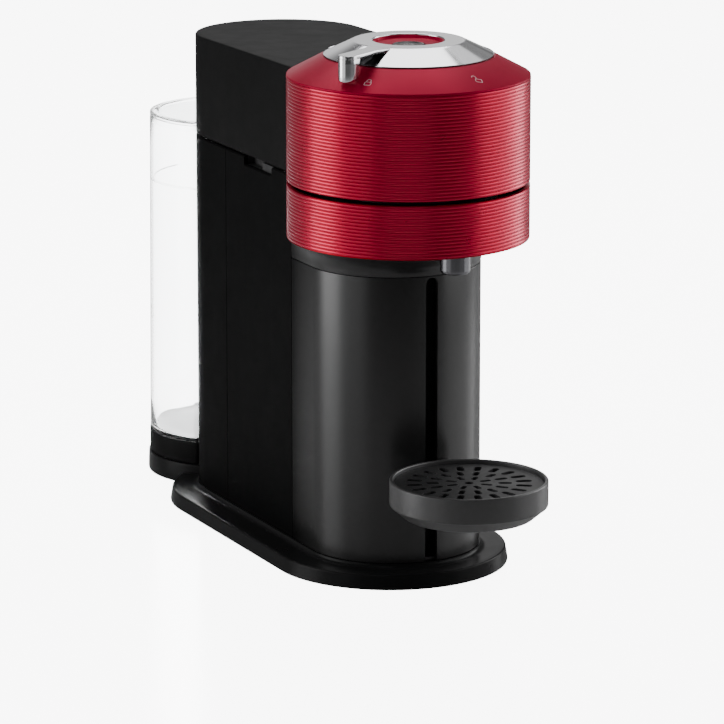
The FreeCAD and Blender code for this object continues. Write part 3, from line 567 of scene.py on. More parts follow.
# ------------------------------------------------------------------ side panels with the finger notch
N0, N1, NZ = 76.0, 115.0, 225.6
for side, nm in ((-1, "left"), (1, "right")):
    ys = [SEAM_F + 0.0, SEAM_F + 0.35]
    ys += [SEAM_F + 4 + i * (N0 - SEAM_F - 5) / 5.0 for i in range(5)]
    ys += [N0 - 0.5, N0 - 0.1, N0 + 0.5, N0 + 1.2] + [N0 + 4 + i * (N1 - N0 - 8) / 6.0 for i in range(7)] + [N1 - 1.2, N1 - 0.5, N1 + 0.1, N1 + 0.5]
    ys += [N1 + 5 + i * (SEAM_R - N1 - 8) / 3.0 for i in range(4)] + [SEAM_R - 0.55, SEAM_R - 0.2]
    p2 = [(side * HW, y, side, 0) for y in ys]

    def sec(i, ys=ys):
        y = ys[i]
        top = BODY_Z1
        if N0 < y < N1:
            e = min(y - N0, N1 - y)
            top = NZ + (0.45 if e < 0.8 else 0.0)
        ins = 0.3 if i in (0, len(ys) - 1) else 0.0
        return rnd([(0 - ins, BODY_Z0 + ins, 0.3), (0 - ins, top - 0.9 - ins, 0.1), (-0.9 - ins * 0.2, top - ins, 0.1), (-T + ins, top - ins, 0.2), (-T + ins, BODY_Z0 + ins, 0.2)], 3)

    v, f = sweep(p2, sec)
    g = Geo().add(v, f)
    make("side_panel_%s_moulded" % nm, g.v, g.f, M["black_side"], "machine", ["side_panel_" + nm], angle=28)

# ------------------------------------------------------------------ used-capsule container (rear of the body)
p3 = path_line(-HW, SEAM_R, -HW, YR, -1, 0, 5) + path_arc(0, YR, HW, 180, 0, 96)[1:] + path_line(HW, YR, HW, SEAM_R, 1, 0, 5)[1:]
p3 = soft_ends(p3)


def sec3(i):
    ins = 0.3 if i in (0, len(p3) - 1) else 0.0
    top = BODY_Z1
    return rnd([(0 - ins, BODY_Z0 + ins, 0.3), (0 - ins, top - 0.9 - ins, 0.1), (-0.9 - ins * 0.2, top - ins, 0.1), (-T + ins, top - ins, 0.2), (-T + ins, BODY_Z0 + ins, 0.2)], 3)


g = Geo().add(*sweep(p3, sec3))
g.add(*box_geo(-HW + T + 0.02, HW - T - 0.02, SEAM_R + 2.5, SEAM_R + 4.7, 18, 196))
fl = [[(x, max(y, SEAM_R + 4.6), z) for x, y, z in stadium(HW - T - 0.05, YF, YR, zz)] for zz in (18.0, 20.2)]
fl = [[p for p in lp if p[1] > SEAM_R + 4.61 or abs(p[0]) > HW - T - 0.1] for lp in fl]
g.add(*rings(fl))
make("capsule_container_moulded", g.v, g.f, M["black_side"], "machine", ["capsule_container"], angle=28)

# ------------------------------------------------------------------ black lid cover
CZ0, CZF, CZR = 232.0, 294.0, 291.9
Y_END = YR + HW
SLOPE = (CZF - CZR) / (Y_END - 47.0)
R_CUT = HEAD_R + 0.15


def cover_loop(d, zfun, arc_extra=0.0, n=96):
    out = []
    x1 = HW - d
    rc = R_CUT + arc_extra
    ys = math.sqrt(max(rc * rc - x1 * x1, 0))
    for i in range(13):
        y = ys + (YR - ys) * i / 12.0
        out.append((-x1, y))
    for i in range(1, n + 1):
        a = math.pi - math.pi * i / n
        out.append((x1 * math.cos(a), YR + x1 * math.sin(a)))
    for i in range(1, 13):
        y = YR + (ys - YR) * i / 12.0
        out.append((x1, y))
    k0 = len(out)
    for i in range(1, 40):
        x = x1 * (1 - 2 * i / 40.0)
        out.append((x, math.sqrt(rc * rc - x * x)))
    return [(x, y, zfun(x, y, i >= k0)) for i, (x, y) in enumerate(out)]


def roof(y):
    return CZF - SLOPE * (y - 47.0)


def bot(x, y, arc, lift=0.0):
    if arc:
        return 236.6 + lift
    return CZ0 + lift + max(0.0, (y - (218.0 + 3.0)) * (3.9 / (Y_END + 1 - 221.0)))


loops = []
loops.append(cover_loop(T - 0.2, lambda x, y, a: bot(x, y, a, 0.0), 0.0))
loops.append(cover_loop(0.35, lambda x, y, a: bot(x, y, a, 0.0)))
loops.append(cover_loop(0.1, lambda x, y, a: bot(x, y, a, 0.12)))
loops.append(cover_loop(0.0, lambda x, y, a: bot(x, y, a, 0.4)))
RE = 1.3
for kk in range(7):
    q = math.pi / 2 * kk / 6
    dd, dz = RE * (1 - math.cos(q)), RE * (1 - math.sin(q))
    loops.append(cover_loop(dd, lambda x, y, a, dz=dz: roof(y) - dz))
loops.append(cover_loop(RE + 3.0, lambda x, y, a: roof(y)))
inner = [cover_loop(T + 2, lambda x, y, a: roof(y) - T, 2.4), cover_loop(T, lambda x, y, a: roof(y) - T - 1.5, 2.4),
         cover_loop(T, lambda x, y, a: bot(x, y, a, 0.3), 2.4)]
v, f = rings(inner + loops)
make("top_cover_moulded", v, f, M["black_matte"], "lid", ["top_cover"], angle=30)

# ------------------------------------------------------------------ base plate and plinth
_lo, _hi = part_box("base_plate")
BHW = _hi[0] * 1000.0
BYF = _lo[1] * 1000.0 + BHW - AY
BYR = _hi[1] * 1000.0 - BHW - AY


def bs_ring(hw, z, k=0.0):
    """k goes from the base plate's plan (0) to the body's plan (1)."""
    return stadium(hw, BYF + (YF - BYF) * k, BYR + (YR - BYR) * k, z, 64)


lp = [bs_ring(66.2, 3.4), bs_ring(66.2, 1.3), bs_ring(66.5, 1.0), bs_ring(BHW - 0.7, 1.0), bs_ring(BHW - 0.2, 1.2), bs_ring(BHW, 1.7)]
for i in range(1, 5):
    t = i / 4.0
    lp.append(bs_ring(BHW - 1.15 * t, 1.7 + 6.9 * t))
for i in range(1, 7):
    q = math.pi / 2 * i / 6
    lp.append(bs_ring(BHW - 1.15 - 1.2 * (1 - math.cos(q)), 8.6 + 1.3 * math.sin(q)))
lp.append(bs_ring(64.0, 9.9, 0.1))
lp.append(bs_ring(57.5, 9.9, 0.8))
lp.append(bs_ring(55.6, 9.92, 1.0))
for i in range(1, 9):
    q = math.pi / 2 * i / 8
    lp.append(bs_ring(55.6 - 3.6 * math.sin(q) ** 1.0, 9.92 + 2.6 * (1 - math.cos(q)), 1.0))
lp.append(bs_ring(51.4, 12.6, 1.0))
lp.append(bs_ring(46.0, 12.6, 1.0))
v, f = rings(lp)
make("base_plate_moulded", v, f, M["base_black"], "machine", ["base_plate"], angle=30)

# ------------------------------------------------------------------ tank dock, foot ring, tank, tank lid
_lo, _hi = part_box("tank_dock")
DR = _hi[0] * 1000.0
DZ0, DZ1 = _lo[2] * 1000.0, _hi[2] * 1000.0
FB = HW + 0.35
lp = [crescent(DR - 0.8, FB + 0.8, DZ0), crescent(DR - 0.2, FB + 0.2, DZ0 + 0.25), crescent(DR, FB, DZ0 + 0.8), crescent(DR - 0.1, FB, 9.0)]
for i in range(5):
    q = math.pi / 2 * i / 4
    lp.append(crescent(DR - 0.35 - 0.7 * (1 - math.cos(q)), FB + 0.7 * (1 - math.cos(q)), DZ1 - 0.7 + 0.7 * math.sin(q)))
lp.append(crescent(44, FB + 6, DZ1))
v, f = rings(lp)
make("tank_dock_moulded", v, f, M["base_black"], "machine", ["tank_dock"], angle=30)

_lo, _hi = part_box("tank_base_ring")
TR = _hi[0] * 1000.0
TZ0, TZ1 = _lo[2] * 1000.0, _hi[2] * 1000.0
lp = [crescent(TR - 3.0, TANK_FRONT + 3.0, TZ0 + 8), crescent(TR - 3.0, TANK_FRONT + 3.0, TZ0), crescent(TR - 0.6, TANK_FRONT + 0.6, TZ0),
      crescent(TR - 0.1, TANK_FRONT + 0.1, TZ0 + 0.3), crescent(TR, TANK_FRONT, TZ0 + 0.8)]
for i in range(5):
    q = math.pi / 2 * i / 4
    lp.append(crescent(TR - 0.8 * (1 - math.cos(q)), TANK_FRONT + 0.8 * (1 - math.cos(q)), TZ1 - 0.8 + 0.8 * math.sin(q)))
lp.append(crescent(42, TANK_FRONT + 8, TZ1))
v, f = rings(lp)
make("tank_base_ring_moulded", v, f, M["black_matte"], "tank", ["tank_base_ring"], angle=30)

_lo, _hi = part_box("tank_shell")
SZ0, SZ1 = _lo[2] * 1000.0, _hi[2] * 1000.0
R0 = _hi[0] * 1000.0


def tank_r(z):
    return R0 - 1.6 * (z - SZ0) / (SZ1 - SZ0)


lp = [crescent(40, TANK_FRONT + 10, SZ0), crescent(R0 - 1.0, TANK_FRONT + 1.0, SZ0), crescent(R0 - 0.2, TANK_FRONT + 0.2, SZ0 + 0.5)]
for i in range(0, 13):
    z = SZ0 + 1.5 + (SZ1 - 2.2 - SZ0 - 1.5) * i / 12.0
    lp.append(crescent(tank_r(z), TANK_FRONT, z))
lp += [crescent(tank_r(SZ1) - 0.25, TANK_FRONT + 0.25, SZ1 - 0.1), crescent(tank_r(SZ1) - 0.6, TANK_FRONT + 0.6, SZ1),
       crescent(tank_r(SZ1) - 1.6, TANK_FRONT + 1.6, SZ1), crescent(tank_r(SZ1) - 2.0, TANK_FRONT + 2.0, SZ1 - 0.4)]
for i in range(12, -1, -1):
    z = SZ0 + 4.0 + (SZ1 - 2.2 - SZ0 - 4.0) * i / 12.0
    # a moulded line on the inside marks the highest fill
    lp.append(crescent(tank_r(z) - 2.0, TANK_FRONT + 2.0, z))
    if i == 10:
        lp.append(crescent(tank_r(190.9) - 2.0, TANK_FRONT + 2.0, 190.9))
        lp.append(crescent(tank_r(190.6) - 2.7, TANK_FRONT + 2.7, 190.5))
        lp.append(crescent(tank_r(190.0) - 2.7, TANK_FRONT + 2.7, 189.9))
        lp.append(crescent(tank_r(189.5) - 2.0, TANK_FRONT + 2.0, 189.5))
lp += [crescent(tank_r(SZ0) - 2.6, TANK_FRONT + 2.6, SZ0 + 2.4), crescent(tank_r(SZ0) - 4.0, TANK_FRONT + 4.0, SZ0 + 2.0), crescent(38, TANK_FRONT + 11, SZ0 + 2.0)]
v, f = rings(lp)
make("tank_shell_clear", v, f, M["clear_tank"], "tank", ["tank_shell"], angle=30)

_lo, _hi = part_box("tank_lid")
LZ0, LZ1 = _lo[2] * 1000.0, _hi[2] * 1000.0
LR = _hi[0] * 1000.0
LB = SZ1 + 0.4
lp = [crescent(LR - 3.9, TANK_FRONT + 4.0, LB + 0.2), crescent(LR - 3.9, TANK_FRONT + 4.0, LZ0), crescent(LR - 2.5, TANK_FRONT + 2.6, LZ0), crescent(LR - 2.4, TANK_FRONT + 2.5, LB),
      crescent(LR - 0.3, TANK_FRONT + 0.3, LB), crescent(LR, TANK_FRONT, LB + 0.3), crescent(LR, TANK_FRONT, LZ1 - 0.5), crescent(LR - 0.15, TANK_FRONT + 0.15, LZ1 - 0.15),
      crescent(LR - 0.5, TANK_FRONT + 0.5, LZ1), crescent(44.6, TANK_FRONT + 4.8, LZ1), crescent(44.0, TANK_FRONT + 5.4, LZ1 - 0.3), crescent(43.8, TANK_FRONT + 5.6, LZ1 - 0.8),
      crescent(42.0, TANK_FRONT + 7.4, LZ1 - 0.8)]
v, f = rings(lp)
make("tank_lid_clear", v, f, M["clear_lid"], "tank_cap", ["tank_lid"], angle=30)

# ------------------------------------------------------------------ lock ring and lever
RR, RZ0, RT, RTZ, RB = 48.8, 305.5, 31.9, 313.9, 20.6
SK = (RZ0 + 0.55 - RTZ) / (RR - RT - 0.6)      # slope of the skirt


def skirt(r):
    """Height of the chrome ring's top at radius r, with a soft shoulder and a soft inner lip."""
    e = 2.2
    if r >= RT - e / 2:
        if r < RT + e / 2:
            u = (r - RT + e / 2) / e
            return RTZ + SK * e * 0.5 * u * u
        return RTZ + SK * (r - RT)
    if r < RB + 0.7:
        u = (RB + 0.7 - r) / 0.7
        return RTZ - 0.7 * (1 - math.sqrt(max(0, 1 - u * u)))
    return RTZ


CH0, CH1 = 7.4, 7.9                            # half width of the channel that the arm lies in


def chan(vv):
    return CH0 + (CH1 - CH0) * (vv - 32.6) / 20.4


def edge_angle(r, off):
    a = 0.2
    for _ in range(40):
        a = math.asin(min(1.0, (chan(r * math.cos(a)) + off) / r))
    return a


g = Geo()
# collar: the flat top all the way round
col = [(RB, 311.0), (RB, RTZ - 0.7)] + [(r, skirt(r)) for r in (RB + 0.1, RB + 0.3, RB + 0.7, 22, 24, 26, 28, 30, RT - 1.1, RT - 0.7, RT - 0.3, RT + 0.1, RT + 0.5, RT + 0.8)]
col += [(RT + 1.0, skirt(RT + 1.0) - 0.2), (RT + 1.0, 309.6), (27.6, 309.6), (27.6, 311.0)]
g.add(*revolve(col, 240))
# skirt: everything but the channel, its edges eased
NA = 200
rs = [RT + 0.2, RT + 0.5, RT + 0.8, RT + 1.1, 34.0, 36.0, 38.0, 40.0, 42.0, 44.0, 46.0, 47.6, RR - 0.4, RR - 0.12]


def skirt_row(r, dz, r_ang=None, ins=0.0):
    """One row of points from one edge of the channel round to the other."""
    q = r_ang or r
    row = []
    for off, drop in ((0.0 + ins, 0.55 + ins * 0), (0.18 + ins, 0.22), (0.5 + ins, 0.03), (0.9 + ins, 0.0)):
        a = edge_angle(q, off)
        row.append((a, drop))
    a0 = row[-1][0]
    mid = [(a0 + (2 * math.pi - 2 * a0) * i / NA, 0.0) for i in range(1, NA)]
    full = row + mid + [(2 * math.pi - a, d) for a, d in row[::-1]]
    return [(r * math.sin(a), -r * math.cos(a), dz(r) - d) for a, d in full]


rows = [skirt_row(r, skirt) for r in rs]
rows.append(skirt_row(RR, lambda r: RZ0 + 0.62, RR))
low = []
for r, z in ((RR, RZ0 + 0.25), (RR - 0.25, RZ0), (44.6, RZ0), (RT + 0.2, 310.6)):
    low.append([(p[0], p[1], z) for p in skirt_row(r, lambda q: z, RR if r > RR - 1 else r)])
rows = rows + low
v, f = [], []
m, k = len(rows[0]), len(rows)
for r in rows:
    v += r
for i in range(k):
    i2 = (i + 1) % k
    for j in range(m - 1):
        f.append([i * m + j, i * m + j + 1, i2 * m + j + 1, i2 * m + j])
f.append([i * m for i in range(k)])
f.append([i * m + m - 1 for i in range(k)][::-1])
g.add(v, f)
# floor of the channel, in dark grey metal: painted shade of the recess in the chrome
fl_prof = rnd([(RT - 0.5, 311.3, 0), (33.4, 310.7, 1.0), (RR - 2.4, RZ0 + 0.9, 0.8), (RR - 1.4, RZ0 + 0.05, 0.2), (43.0, RZ0 + 0.05, 0), (RT - 0.5, 309.7, 0)], 5)
fv, ff = revolve(fl_prof, 60, -90 - 17.5, -90 + 17.5)
floor_geo = Geo().add(fv, ff)
HLV, LV = 5.6, 63.0


def arm_outline(d, z, n=30):
    """Plan of the arm: wide root, straight sides, curved nose (u across, v outward)."""
    pts = [(-(8.9 - d), -27.0), (-(8.9 - d), -29.0), (-(7.4 - d), -32.5), (-(6.3 - d), -35.5), (-(HLV + 0.2 - d), -38.5), (-(HLV - d), -42.0), (-(HLV - d), -LV)]
    for i in range(1, n):
        a = math.pi + math.pi * i / n
        pts.append(((HLV - d) * math.cos(a), -LV + (HLV - d) * math.sin(a)))
    pts += [(-x, y) for x, y in pts[:7][::-1]]
    return [(x, y, z(-y) if callable(z) else z) for x, y in pts]


def under(vv):
    """Underside of the arm: thin at the root, deeper towards the nose."""
    t = min(1.0, max(0.0, (vv - 30.0) / 26.0))
    return RTZ - 1.7 - 0.9 * t


def atop(dz):
    """Top of the arm; its root dips just under the collar."""
    return lambda q: RTZ - dz - 0.12 * min(1.0, max(0.0, (32.6 - q) / 3.6))


g.add(*rings([arm_outline(0.7, lambda q: under(q)), arm_outline(0.15, lambda q: under(q) + 0.15), arm_outline(0.0, lambda q: under(q) + 0.5),
              arm_outline(0.0, atop(0.55)), arm_outline(0.06, atop(0.3)), arm_outline(0.2, atop(0.1)), arm_outline(0.5, atop(0.015)), arm_outline(0.8, atop(0.0))]))


def foot(vv):
    return 297.0 + (68.6 - vv) * 0.19 + 1.15


def nose(d, z, n=36):
    """Half-round block under the arm's end; its inner face leans outward and its foot is eased."""
    out = []
    hw = HLV - d

    def zz(vv):
        return z(vv) if callable(z) else z
    vin = lambda q: 59.6 + (311.8 - q) * (2.6 / 15.8) + d
    z_in = zz(61.0)
    out.append((-hw, -vin(z_in)))
    for i in range(n + 1):
        a = math.pi + math.pi * i / n
        out.append((hw * math.cos(a), -LV + hw * math.sin(a)))
    out.append((hw, -vin(z_in)))
    return [(x, y, zz(-y)) for x, y in out]


ft = []
for kk in range(7):
    q = math.pi / 2 * kk / 6
    ft.append(nose(1.9 * (1 - math.sin(q)), lambda vv, q=q: foot(vv) + 1.9 * (1 - math.cos(q))))
ft.insert(0, nose(3.2, lambda vv: foot(vv)))
ft += [nose(0.0, 303.0), nose(0.0, 306.0), nose(0.0, 309.0), nose(0.0, RTZ - 0.56), nose(0.2, RTZ - 0.2)]
g.add(*rings(ft))
# web under the arm
g.add(*rings([[(-1.3, -61.2, 305.0), (1.3, -61.2, 305.0), (1.3, -33.0, 310.0), (-1.3, -33.0, 310.0)],
              [(-1.3, -61.2, 312.0), (1.3, -61.2, 312.0), (1.3, -33.0, 312.4), (-1.3, -33.0, 312.4)]]))
ca, sa = math.cos(math.radians(-LEVER_DEG)), math.sin(math.radians(-LEVER_DEG))
vv = [(x * ca - y * sa, x * sa + y * ca, z) for x, y, z in g.v]
make("lock_lever_chrome", vv, g.f, M["chrome"], "lever", ["lock_lever"], angle=38)
vv = [(x * ca - y * sa, x * sa + y * ca, z) for x, y, z in floor_geo.v]
# the channel floor rides with the lever, in dark metal as painted shade
make("lock_lever_channel_floor", vv, floor_geo.f, M["channel_painted_shade"], "lever", angle=38)

# ------------------------------------------------------------------ red dish and start button
dish = rnd([(9.7, 303.0, 0.1), (47.2, 303.0, 0.1), (47.2, 304.9, 0.3), (27.6, 304.9, 0.3), (20.3, 304.9, 0.1), (20.3, 313.3, 0.3), (19.8, 313.3, 0.25),
            (18.4, 311.4, 2.0), (12.4, 310.3, 1.5), (10.8, 311.1, 0.45), (9.7, 311.0, 0.35)], 7)
v, f = revolve(dish, 192)
make("red_dish", v, f, M["red_smooth"], "lid", ["dish_ring"], angle=45)
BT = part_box("start_button")[1][2] * 1000.0
btn = rnd([(0.0, BT - 8.0, 0), (9.3, BT - 8.0, 0.2), (9.3, BT, 0.7), (7.4, BT, 0.9), (5.6, BT - 0.45, 1.6), (0.0, BT - 0.62, 0)], 6)
v, f = revolve(btn, 128)
make("start_button_domed", v, f, M["black_gloss"], "button", ["start_button"], angle=45)


def ribbon(pts, w, h, closed, fn):
    """A thin raised line through (u, v) points."""
    v, f = [], []
    n = len(pts)
    for i in range(n):
        a = Vector(pts[(i - 1) % n] if closed or i > 0 else pts[i])
        b = Vector(pts[(i + 1) % n] if closed or i < n - 1 else pts[i])
        t = (b - a).normalized()
        nn = Vector((-t.y, t.x)) * (w / 2)
        p = Vector(pts[i])
        for q, hh in ((p + nn, 0), (p + nn * 0.8, h), (p - nn * 0.8, h), (p - nn, 0)):
            v.append(fn(q.x, q.y, hh))
    k = n if closed else n - 1
    for i in range(k):
        i2 = (i + 1) % n
        for j in range(4):
            j2 = (j + 1) % 4
            f.append([i * 4 + j, i * 4 + j2, i2 * 4 + j2, i2 * 4 + j])
    if not closed:
        f.append([0, 1, 2, 3])
        f.append([(n - 1) * 4 + j for j in range(4)][::-1])
    return v, f


def arc_pts(cx, cy, r, d0, d1, n=16):
    return [(cx + r * math.cos(math.radians(d0 + (d1 - d0) * i / n)), cy + r * math.sin(math.radians(d0 + (d1 - d0) * i / n))) for i in range(n + 1)]


g = Geo()
flat = lambda u, w, h: (u, w, BT - 0.62 + h)
g.add(*ribbon(arc_pts(0, 0, 2.6, -240, 60, 24), 0.45, 0.08, False, flat))
g.add(*ribbon([(0, 1.0), (0, 3.6)], 0.45, 0.08, False, flat))
make("button_mark", g.v, g.f, M["mark_white"], "button", angle=40)


def on_cone(phi, rc):
    """Maps (u, v, h): u to the right as seen from outside, v up the cone, at angle phi left of the front."""
    a = math.radians(phi)
    dr, dz = (CONE_R - HEAD_R), (CONE_Z - RIM_Z)
    L = math.hypot(dr, dz)
    dr, dz = dr / L, dz / L
    out = Vector((-math.sin(a), -math.cos(a)))
    right = Vector((math.cos(a), -math.sin(a)))

    def fn(u, w, h):
        r = rc + w * dr
        # wrap around the cone
        aa = u / r
        d2 = out * math.cos(aa) + right * math.sin(aa)
        rr = r + h * dz
        z = RIM_Z + (HEAD_R - r) * (-dz / dr) + h * (-dr) + 0.02
        return (d2.x * rr, d2.y * rr, z)
    return fn


def rot(pts, deg):
    c, s = math.cos(math.radians(deg)), math.sin(math.radians(deg))
    return [(x * c - y * s, x * s + y * c) for x, y in pts]


for nm, phi, shut, tilt in (("padlock_closed_mark", 48.0, True, 0), ("padlock_open_mark", -13.5, False, -24)):
    g = Geo()
    fn = on_cone(phi, 61.0)
    body = rnd([(-1.9, -2.6, 0.5), (1.9, -2.6, 0.5), (1.9, 0.2, 0.5), (-1.9, 0.2, 0.5)], 3)
    g.add(*ribbon(rot(body, tilt), 0.42, 0.03, True, fn))
    if shut:
        sh = [(-1.25, 0.3)] + arc_pts(0, 1.3, 1.25, 180, 0, 12) + [(1.25, 0.3)]
    else:
        sh = [(-1.25, 0.3)] + arc_pts(-2.5, 1.5, 1.25, 0, 180, 12) + [(-3.75, 1.0)]
    g.add(*ribbon(rot(sh, tilt), 0.42, 0.03, False, fn))
    make(nm, g.v, g.f, M["mark_pink"], "lid", angle=40)

# ------------------------------------------------------------------ spout
_lo, _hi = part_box("spout")
SPX, SPY = 0.0, -60.0
SPR, SPZ = 0.5 * (_hi[0] - _lo[0]) * 1000.0, _lo[2] * 1000.0
sp = rnd([(5.6, SPZ + 0.2, 0.5), (SPR - 0.6, SPZ, 1.6), (SPR, SPZ + 2.0, 1.2), (SPR, 199.6, 0), (5.0, 199.6, 0)], 6)
v, f = revolve(sp, 96, cx=SPX, cy=SPY)
make("spout_turned", v, f, M["dark_chrome"], "machine", ["spout"], angle=40)

# ------------------------------------------------------------------ cup support
CY = -78.3
_lo, _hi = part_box("cup_support")
CR, CT = _hi[0] * 1000.0, _hi[2] * 1000.0
cs = rnd([(0, 50.6, 0), (29.0, 50.4, 3.0), (37.0, 52.4, 4.0), (44.4, 58.9, 0.5), (CR - 0.1, 59.2, 0.5), (CR, 60.0, 0.4), (CR, CT - 0.6, 0.5), (CR - 0.5, CT, 0.45),
          (CR - 1.9, CT, 0.45), (CR - 2.2, CT - 0.7, 0.4), (CR - 2.2, 62.0, 0.5), (41.4, 60.0, 0.5), (34.0, 54.0, 1.0), (0, 54.0, 0)], 5)
g = Geo().add(*revolve(cs, 192, cx=0, cy=CY))
arm = []
for t in [i / 10.0 for i in range(11)]:
    y = -33.3 - 16.0 * t
    e = t * t * (3 - 2 * t)
    hw = 2.95 + 13.5 * e
    z0, z1 = 44.0 + 7.6 * e, 65.9 + 1.6 * e
    sec = rnd([(-hw, z0, 1.4), (hw, z0, 1.4), (hw, z1, 1.2), (-hw, z1, 1.2)], 4)
    arm.append([(x, y, z) for x, z in sec])
g.add(*rings(arm))
make("cup_support_turned", g.v, g.f, M["tray_grey"], "cup_holder", ["cup_support"], angle=40)

# ------------------------------------------------------------------ CAD nodes that show as they are
for n, w in (("drip_grid", 0.35), ("drip_pan", 0.3), ("cup_carriage", 0.4), ("slot_liner", 0.3), ("mains_inlet", 0.5), ("hinge_bracket", 0.4),
             ("lid_hinge_arms", 0.4), ("top_deck", 0.3), ("capsule_chute", 0.3), ("brew_chamber", 0.4), ("capsule_holder", 0.2), ("clamp_disc", 0.6),
             ("lid_inner_plate", 0.3), ("chamber_seal", 0.5), ("lid_gasket", 0.4), ("rubber_feet", 0.4), ("base_cover", 0.4), ("head_underside", 0.3),
             ("pump", 0.6), ("thermoblock", 0.6), ("spin_motor", 0.6), ("tank_valve", 0.4), ("valve_poppet", 0.4), ("dock_port", 0.3), ("hinge_pins", 0.3)):
    ease(n, w)

# ------------------------------------------------------------------ floor, light, camera
floor_v = [(-9000, -9000, 0), (9000, -9000, 0), (9000, 9000, 0), (-9000, 9000, 0)]
me = bpy.data.meshes.new("studio_floor")
me.from_pydata([(x / 1000, y / 1000, 0.0) for x, y, z in floor_v], [], [[0, 1, 2, 3]])
fl = bpy.data.objects.new("studio_floor", me)
bpy.context.scene.collection.objects.link(fl)
fm, nt, bs, tc = new_mat("pale_floor")
bs.inputs["Base Color"].default_value = (0.60, 0.60, 0.604, 1)
bs.inputs["Roughness"].default_value = 0.16
bs.inputs["Specular IOR Level"].default_value = 0.5
bs.inputs["Emission Color"].default_value = (1, 1, 1, 1)
lpf = nt.nodes.new("ShaderNodeLightPath")
seen = nt.nodes.new("ShaderNodeMath")
seen.operation = "MAXIMUM"
nt.links.new(lpf.outputs["Is Camera Ray"], seen.inputs[0])
nt.links.new(lpf.outputs["Is Transmission Ray"], seen.inputs[1])
mul = nt.nodes.new("ShaderNodeMath")
mul.operation = "MULTIPLY"
mul.inputs[1].default_value = 8.0
nt.links.new(seen.outputs[0], mul.inputs[0])
nt.links.new(mul.outputs[0], bs.inputs["Emission Strength"])
me.materials.append(fm)

world = bpy.data.worlds.new("studio")
bpy.context.scene.world = world
world.use_nodes = True
nt = world.node_tree
nt.nodes.clear()
wo = nt.nodes.new("ShaderNodeOutputWorld")
lpn = nt.nodes.new("ShaderNodeLightPath")
wtc = nt.nodes.new("ShaderNodeTexCoord")
sep = nt.nodes.new("ShaderNodeSeparateXYZ")
nt.links.new(wtc.outputs["Generated"], sep.inputs[0])
grad = nt.nodes.new("ShaderNodeMapRange")
grad.interpolation_type = "SMOOTHSTEP"
grad.inputs["From Min"].default_value = 0.22
grad.inputs["From Max"].default_value = 0.62
grad.inputs["To Min"].default_value = 0.85
grad.inputs["To Max"].default_value = 0.10
nt.links.new(sep.outputs["Z"], grad.inputs["Value"])
# the rear half of the room is bright, the front half is dim
side = nt.nodes.new("ShaderNodeMapRange")
side.interpolation_type = "SMOOTHSTEP"
side.inputs["From Min"].default_value = 0.25
side.inputs["From Max"].default_value = 0.85
side.inputs["To Min"].default_value = 0.24
side.inputs["To Max"].default_value = 1.0
nt.links.new(sep.outputs["Y"], side.inputs["Value"])
# and it falls off towards both sides
flank = nt.nodes.new("ShaderNodeMapRange")
flank.interpolation_type = "SMOOTHSTEP"
flank.inputs["From Min"].default_value = 0.47
flank.inputs["From Max"].default_value = 0.60
flank.inputs["To Min"].default_value = 1.0
flank.inputs["To Max"].default_value = 0.12
nt.links.new(sep.outputs["X"], flank.inputs["Value"])
flank2 = nt.nodes.new("ShaderNodeMapRange")
flank2.interpolation_type = "SMOOTHSTEP"
flank2.inputs["From Min"].default_value = -0.02
flank2.inputs["From Max"].default_value = 0.26
flank2.inputs["To Min"].default_value = 0.25
flank2.inputs["To Max"].default_value = 1.0
nt.links.new(sep.outputs["X"], flank2.inputs["Value"])
pair = nt.nodes.new("ShaderNodeMath")
pair.operation = "MULTIPLY"
nt.links.new(flank.outputs[0], pair.inputs[0])
nt.links.new(flank2.outputs[0], pair.inputs[1])
both = nt.nodes.new("ShaderNodeMath")
both.operation = "MULTIPLY"
nt.links.new(side.outputs[0], both.inputs[0])
nt.links.new(pair.outputs[0], both.inputs[1])
prod = nt.nodes.new("ShaderNodeMath")
prod.operation = "MULTIPLY"
nt.links.new(grad.outputs[0], prod.inputs[0])
nt.links.new(both.outputs[0], prod.inputs[1])
b_cam = nt.nodes.new("ShaderNodeBackground")
b_cam.inputs[0].default_value = (1.0, 1.0, 1.0, 1)
b_cam.inputs[1].default_value = 9.0
b_lit = nt.nodes.new("ShaderNodeBackground")
b_lit.inputs[0].default_value = (1.0, 1.0, 1.0, 1)
nt.links.new(prod.outputs[0], b_lit.inputs[1])
mx = nt.nodes.new("ShaderNodeMixShader")
direct = nt.nodes.new("ShaderNodeMath")
direct.operation = "MAXIMUM"
nt.links.new(lpn.outputs["Is Camera Ray"], direct.inputs[0])
nt.links.new(lpn.outputs["Is Transmission Ray"], direct.inputs[1])
nt.links.new(direct.outputs[0], mx.inputs[0])
nt.links.new(b_lit.outputs[0], mx.inputs[1])
nt.links.new(b_cam.outputs[0], mx.inputs[2])
nt.links.new(mx.outputs[0], wo.inputs[0])

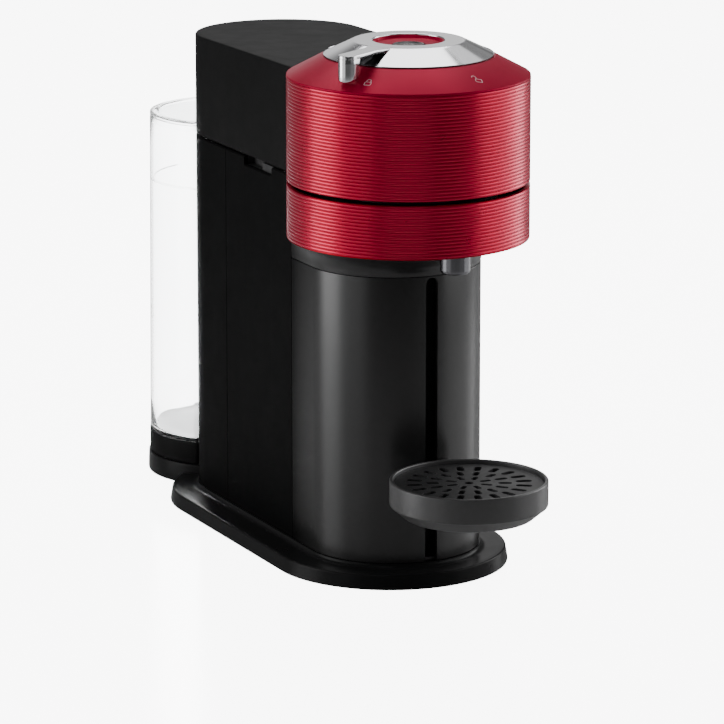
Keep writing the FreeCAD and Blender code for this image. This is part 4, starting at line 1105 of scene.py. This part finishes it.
HX, HY = AX / 1000.0, AY / 1000.0


def softbox(name, az_deg, el_deg, dist, sx, sy, radiance, tz=0.16, ty=0.06):
    """A rectangular soft light seen from the machine at that azimuth (0 = front, negative = left) and height."""
    a, e = math.radians(az_deg), math.radians(el_deg)
    t = Vector((HX, HY + ty, tz))
    loc = t + Vector((math.sin(a) * math.cos(e), -math.cos(a) * math.cos(e), math.sin(e))) * dist
    ld = bpy.data.lights.new(name, "AREA")
    ld.shape = "RECTANGLE"
    ld.size, ld.size_y = sx, sy
    ld.energy = radiance * math.pi * sx * sy
    ob = bpy.data.objects.new(name, ld)
    ob.location = loc
    ob.rotation_euler = (t - loc).to_track_quat("-Z", "Y").to_euler()
    bpy.context.scene.collection.objects.link(ob)
    return ob


softbox("soft_left", -77.0, 12.0, 1.35, 0.90, 1.1, 0.80)
softbox("soft_left_core", -111.0, 12.0, 1.35, 0.76, 1.1, 4.6)
softbox("soft_right", 64.0, 17.0, 1.45, 1.20, 1.0, 2.4)
softbox("soft_right_core", 98.0, 17.0, 1.45, 0.50, 1.0, 5.0)
softbox("soft_top", 160.0, 60.0, 1.6, 1.15, 1.0, 3.6)
softbox("soft_top_low", 137.0, 42.0, 1.6, 0.60, 0.45, 1.00)
softbox("soft_top_lower", 139.0, 25.0, 1.6, 0.60, 0.50, 0.18)
softbox("soft_fill", -26.0, 62.0, 1.8, 0.9, 0.9, 1.2)

cam = bpy.data.cameras.new("camera")
cam.lens = 4486.11 / 724.0 * 36.0
cam.sensor_width = 36.0
cam.clip_start, cam.clip_end = 0.05, 50.0
co = bpy.data.objects.new("camera", cam)
bpy.context.scene.collection.objects.link(co)
az, el = math.radians(-25.834), math.radians(13.603)
back = Vector((math.sin(az) * math.cos(el), -math.cos(az) * math.cos(el), math.sin(el)))
tgt = Vector((HX - 0.029497, HY, 0.12790))
co.location = tgt + back * 2.58598
co.rotation_euler = back.to_track_quat("Z", "Y").to_euler()
bpy.context.scene.camera = co
cam.dof.use_dof = False
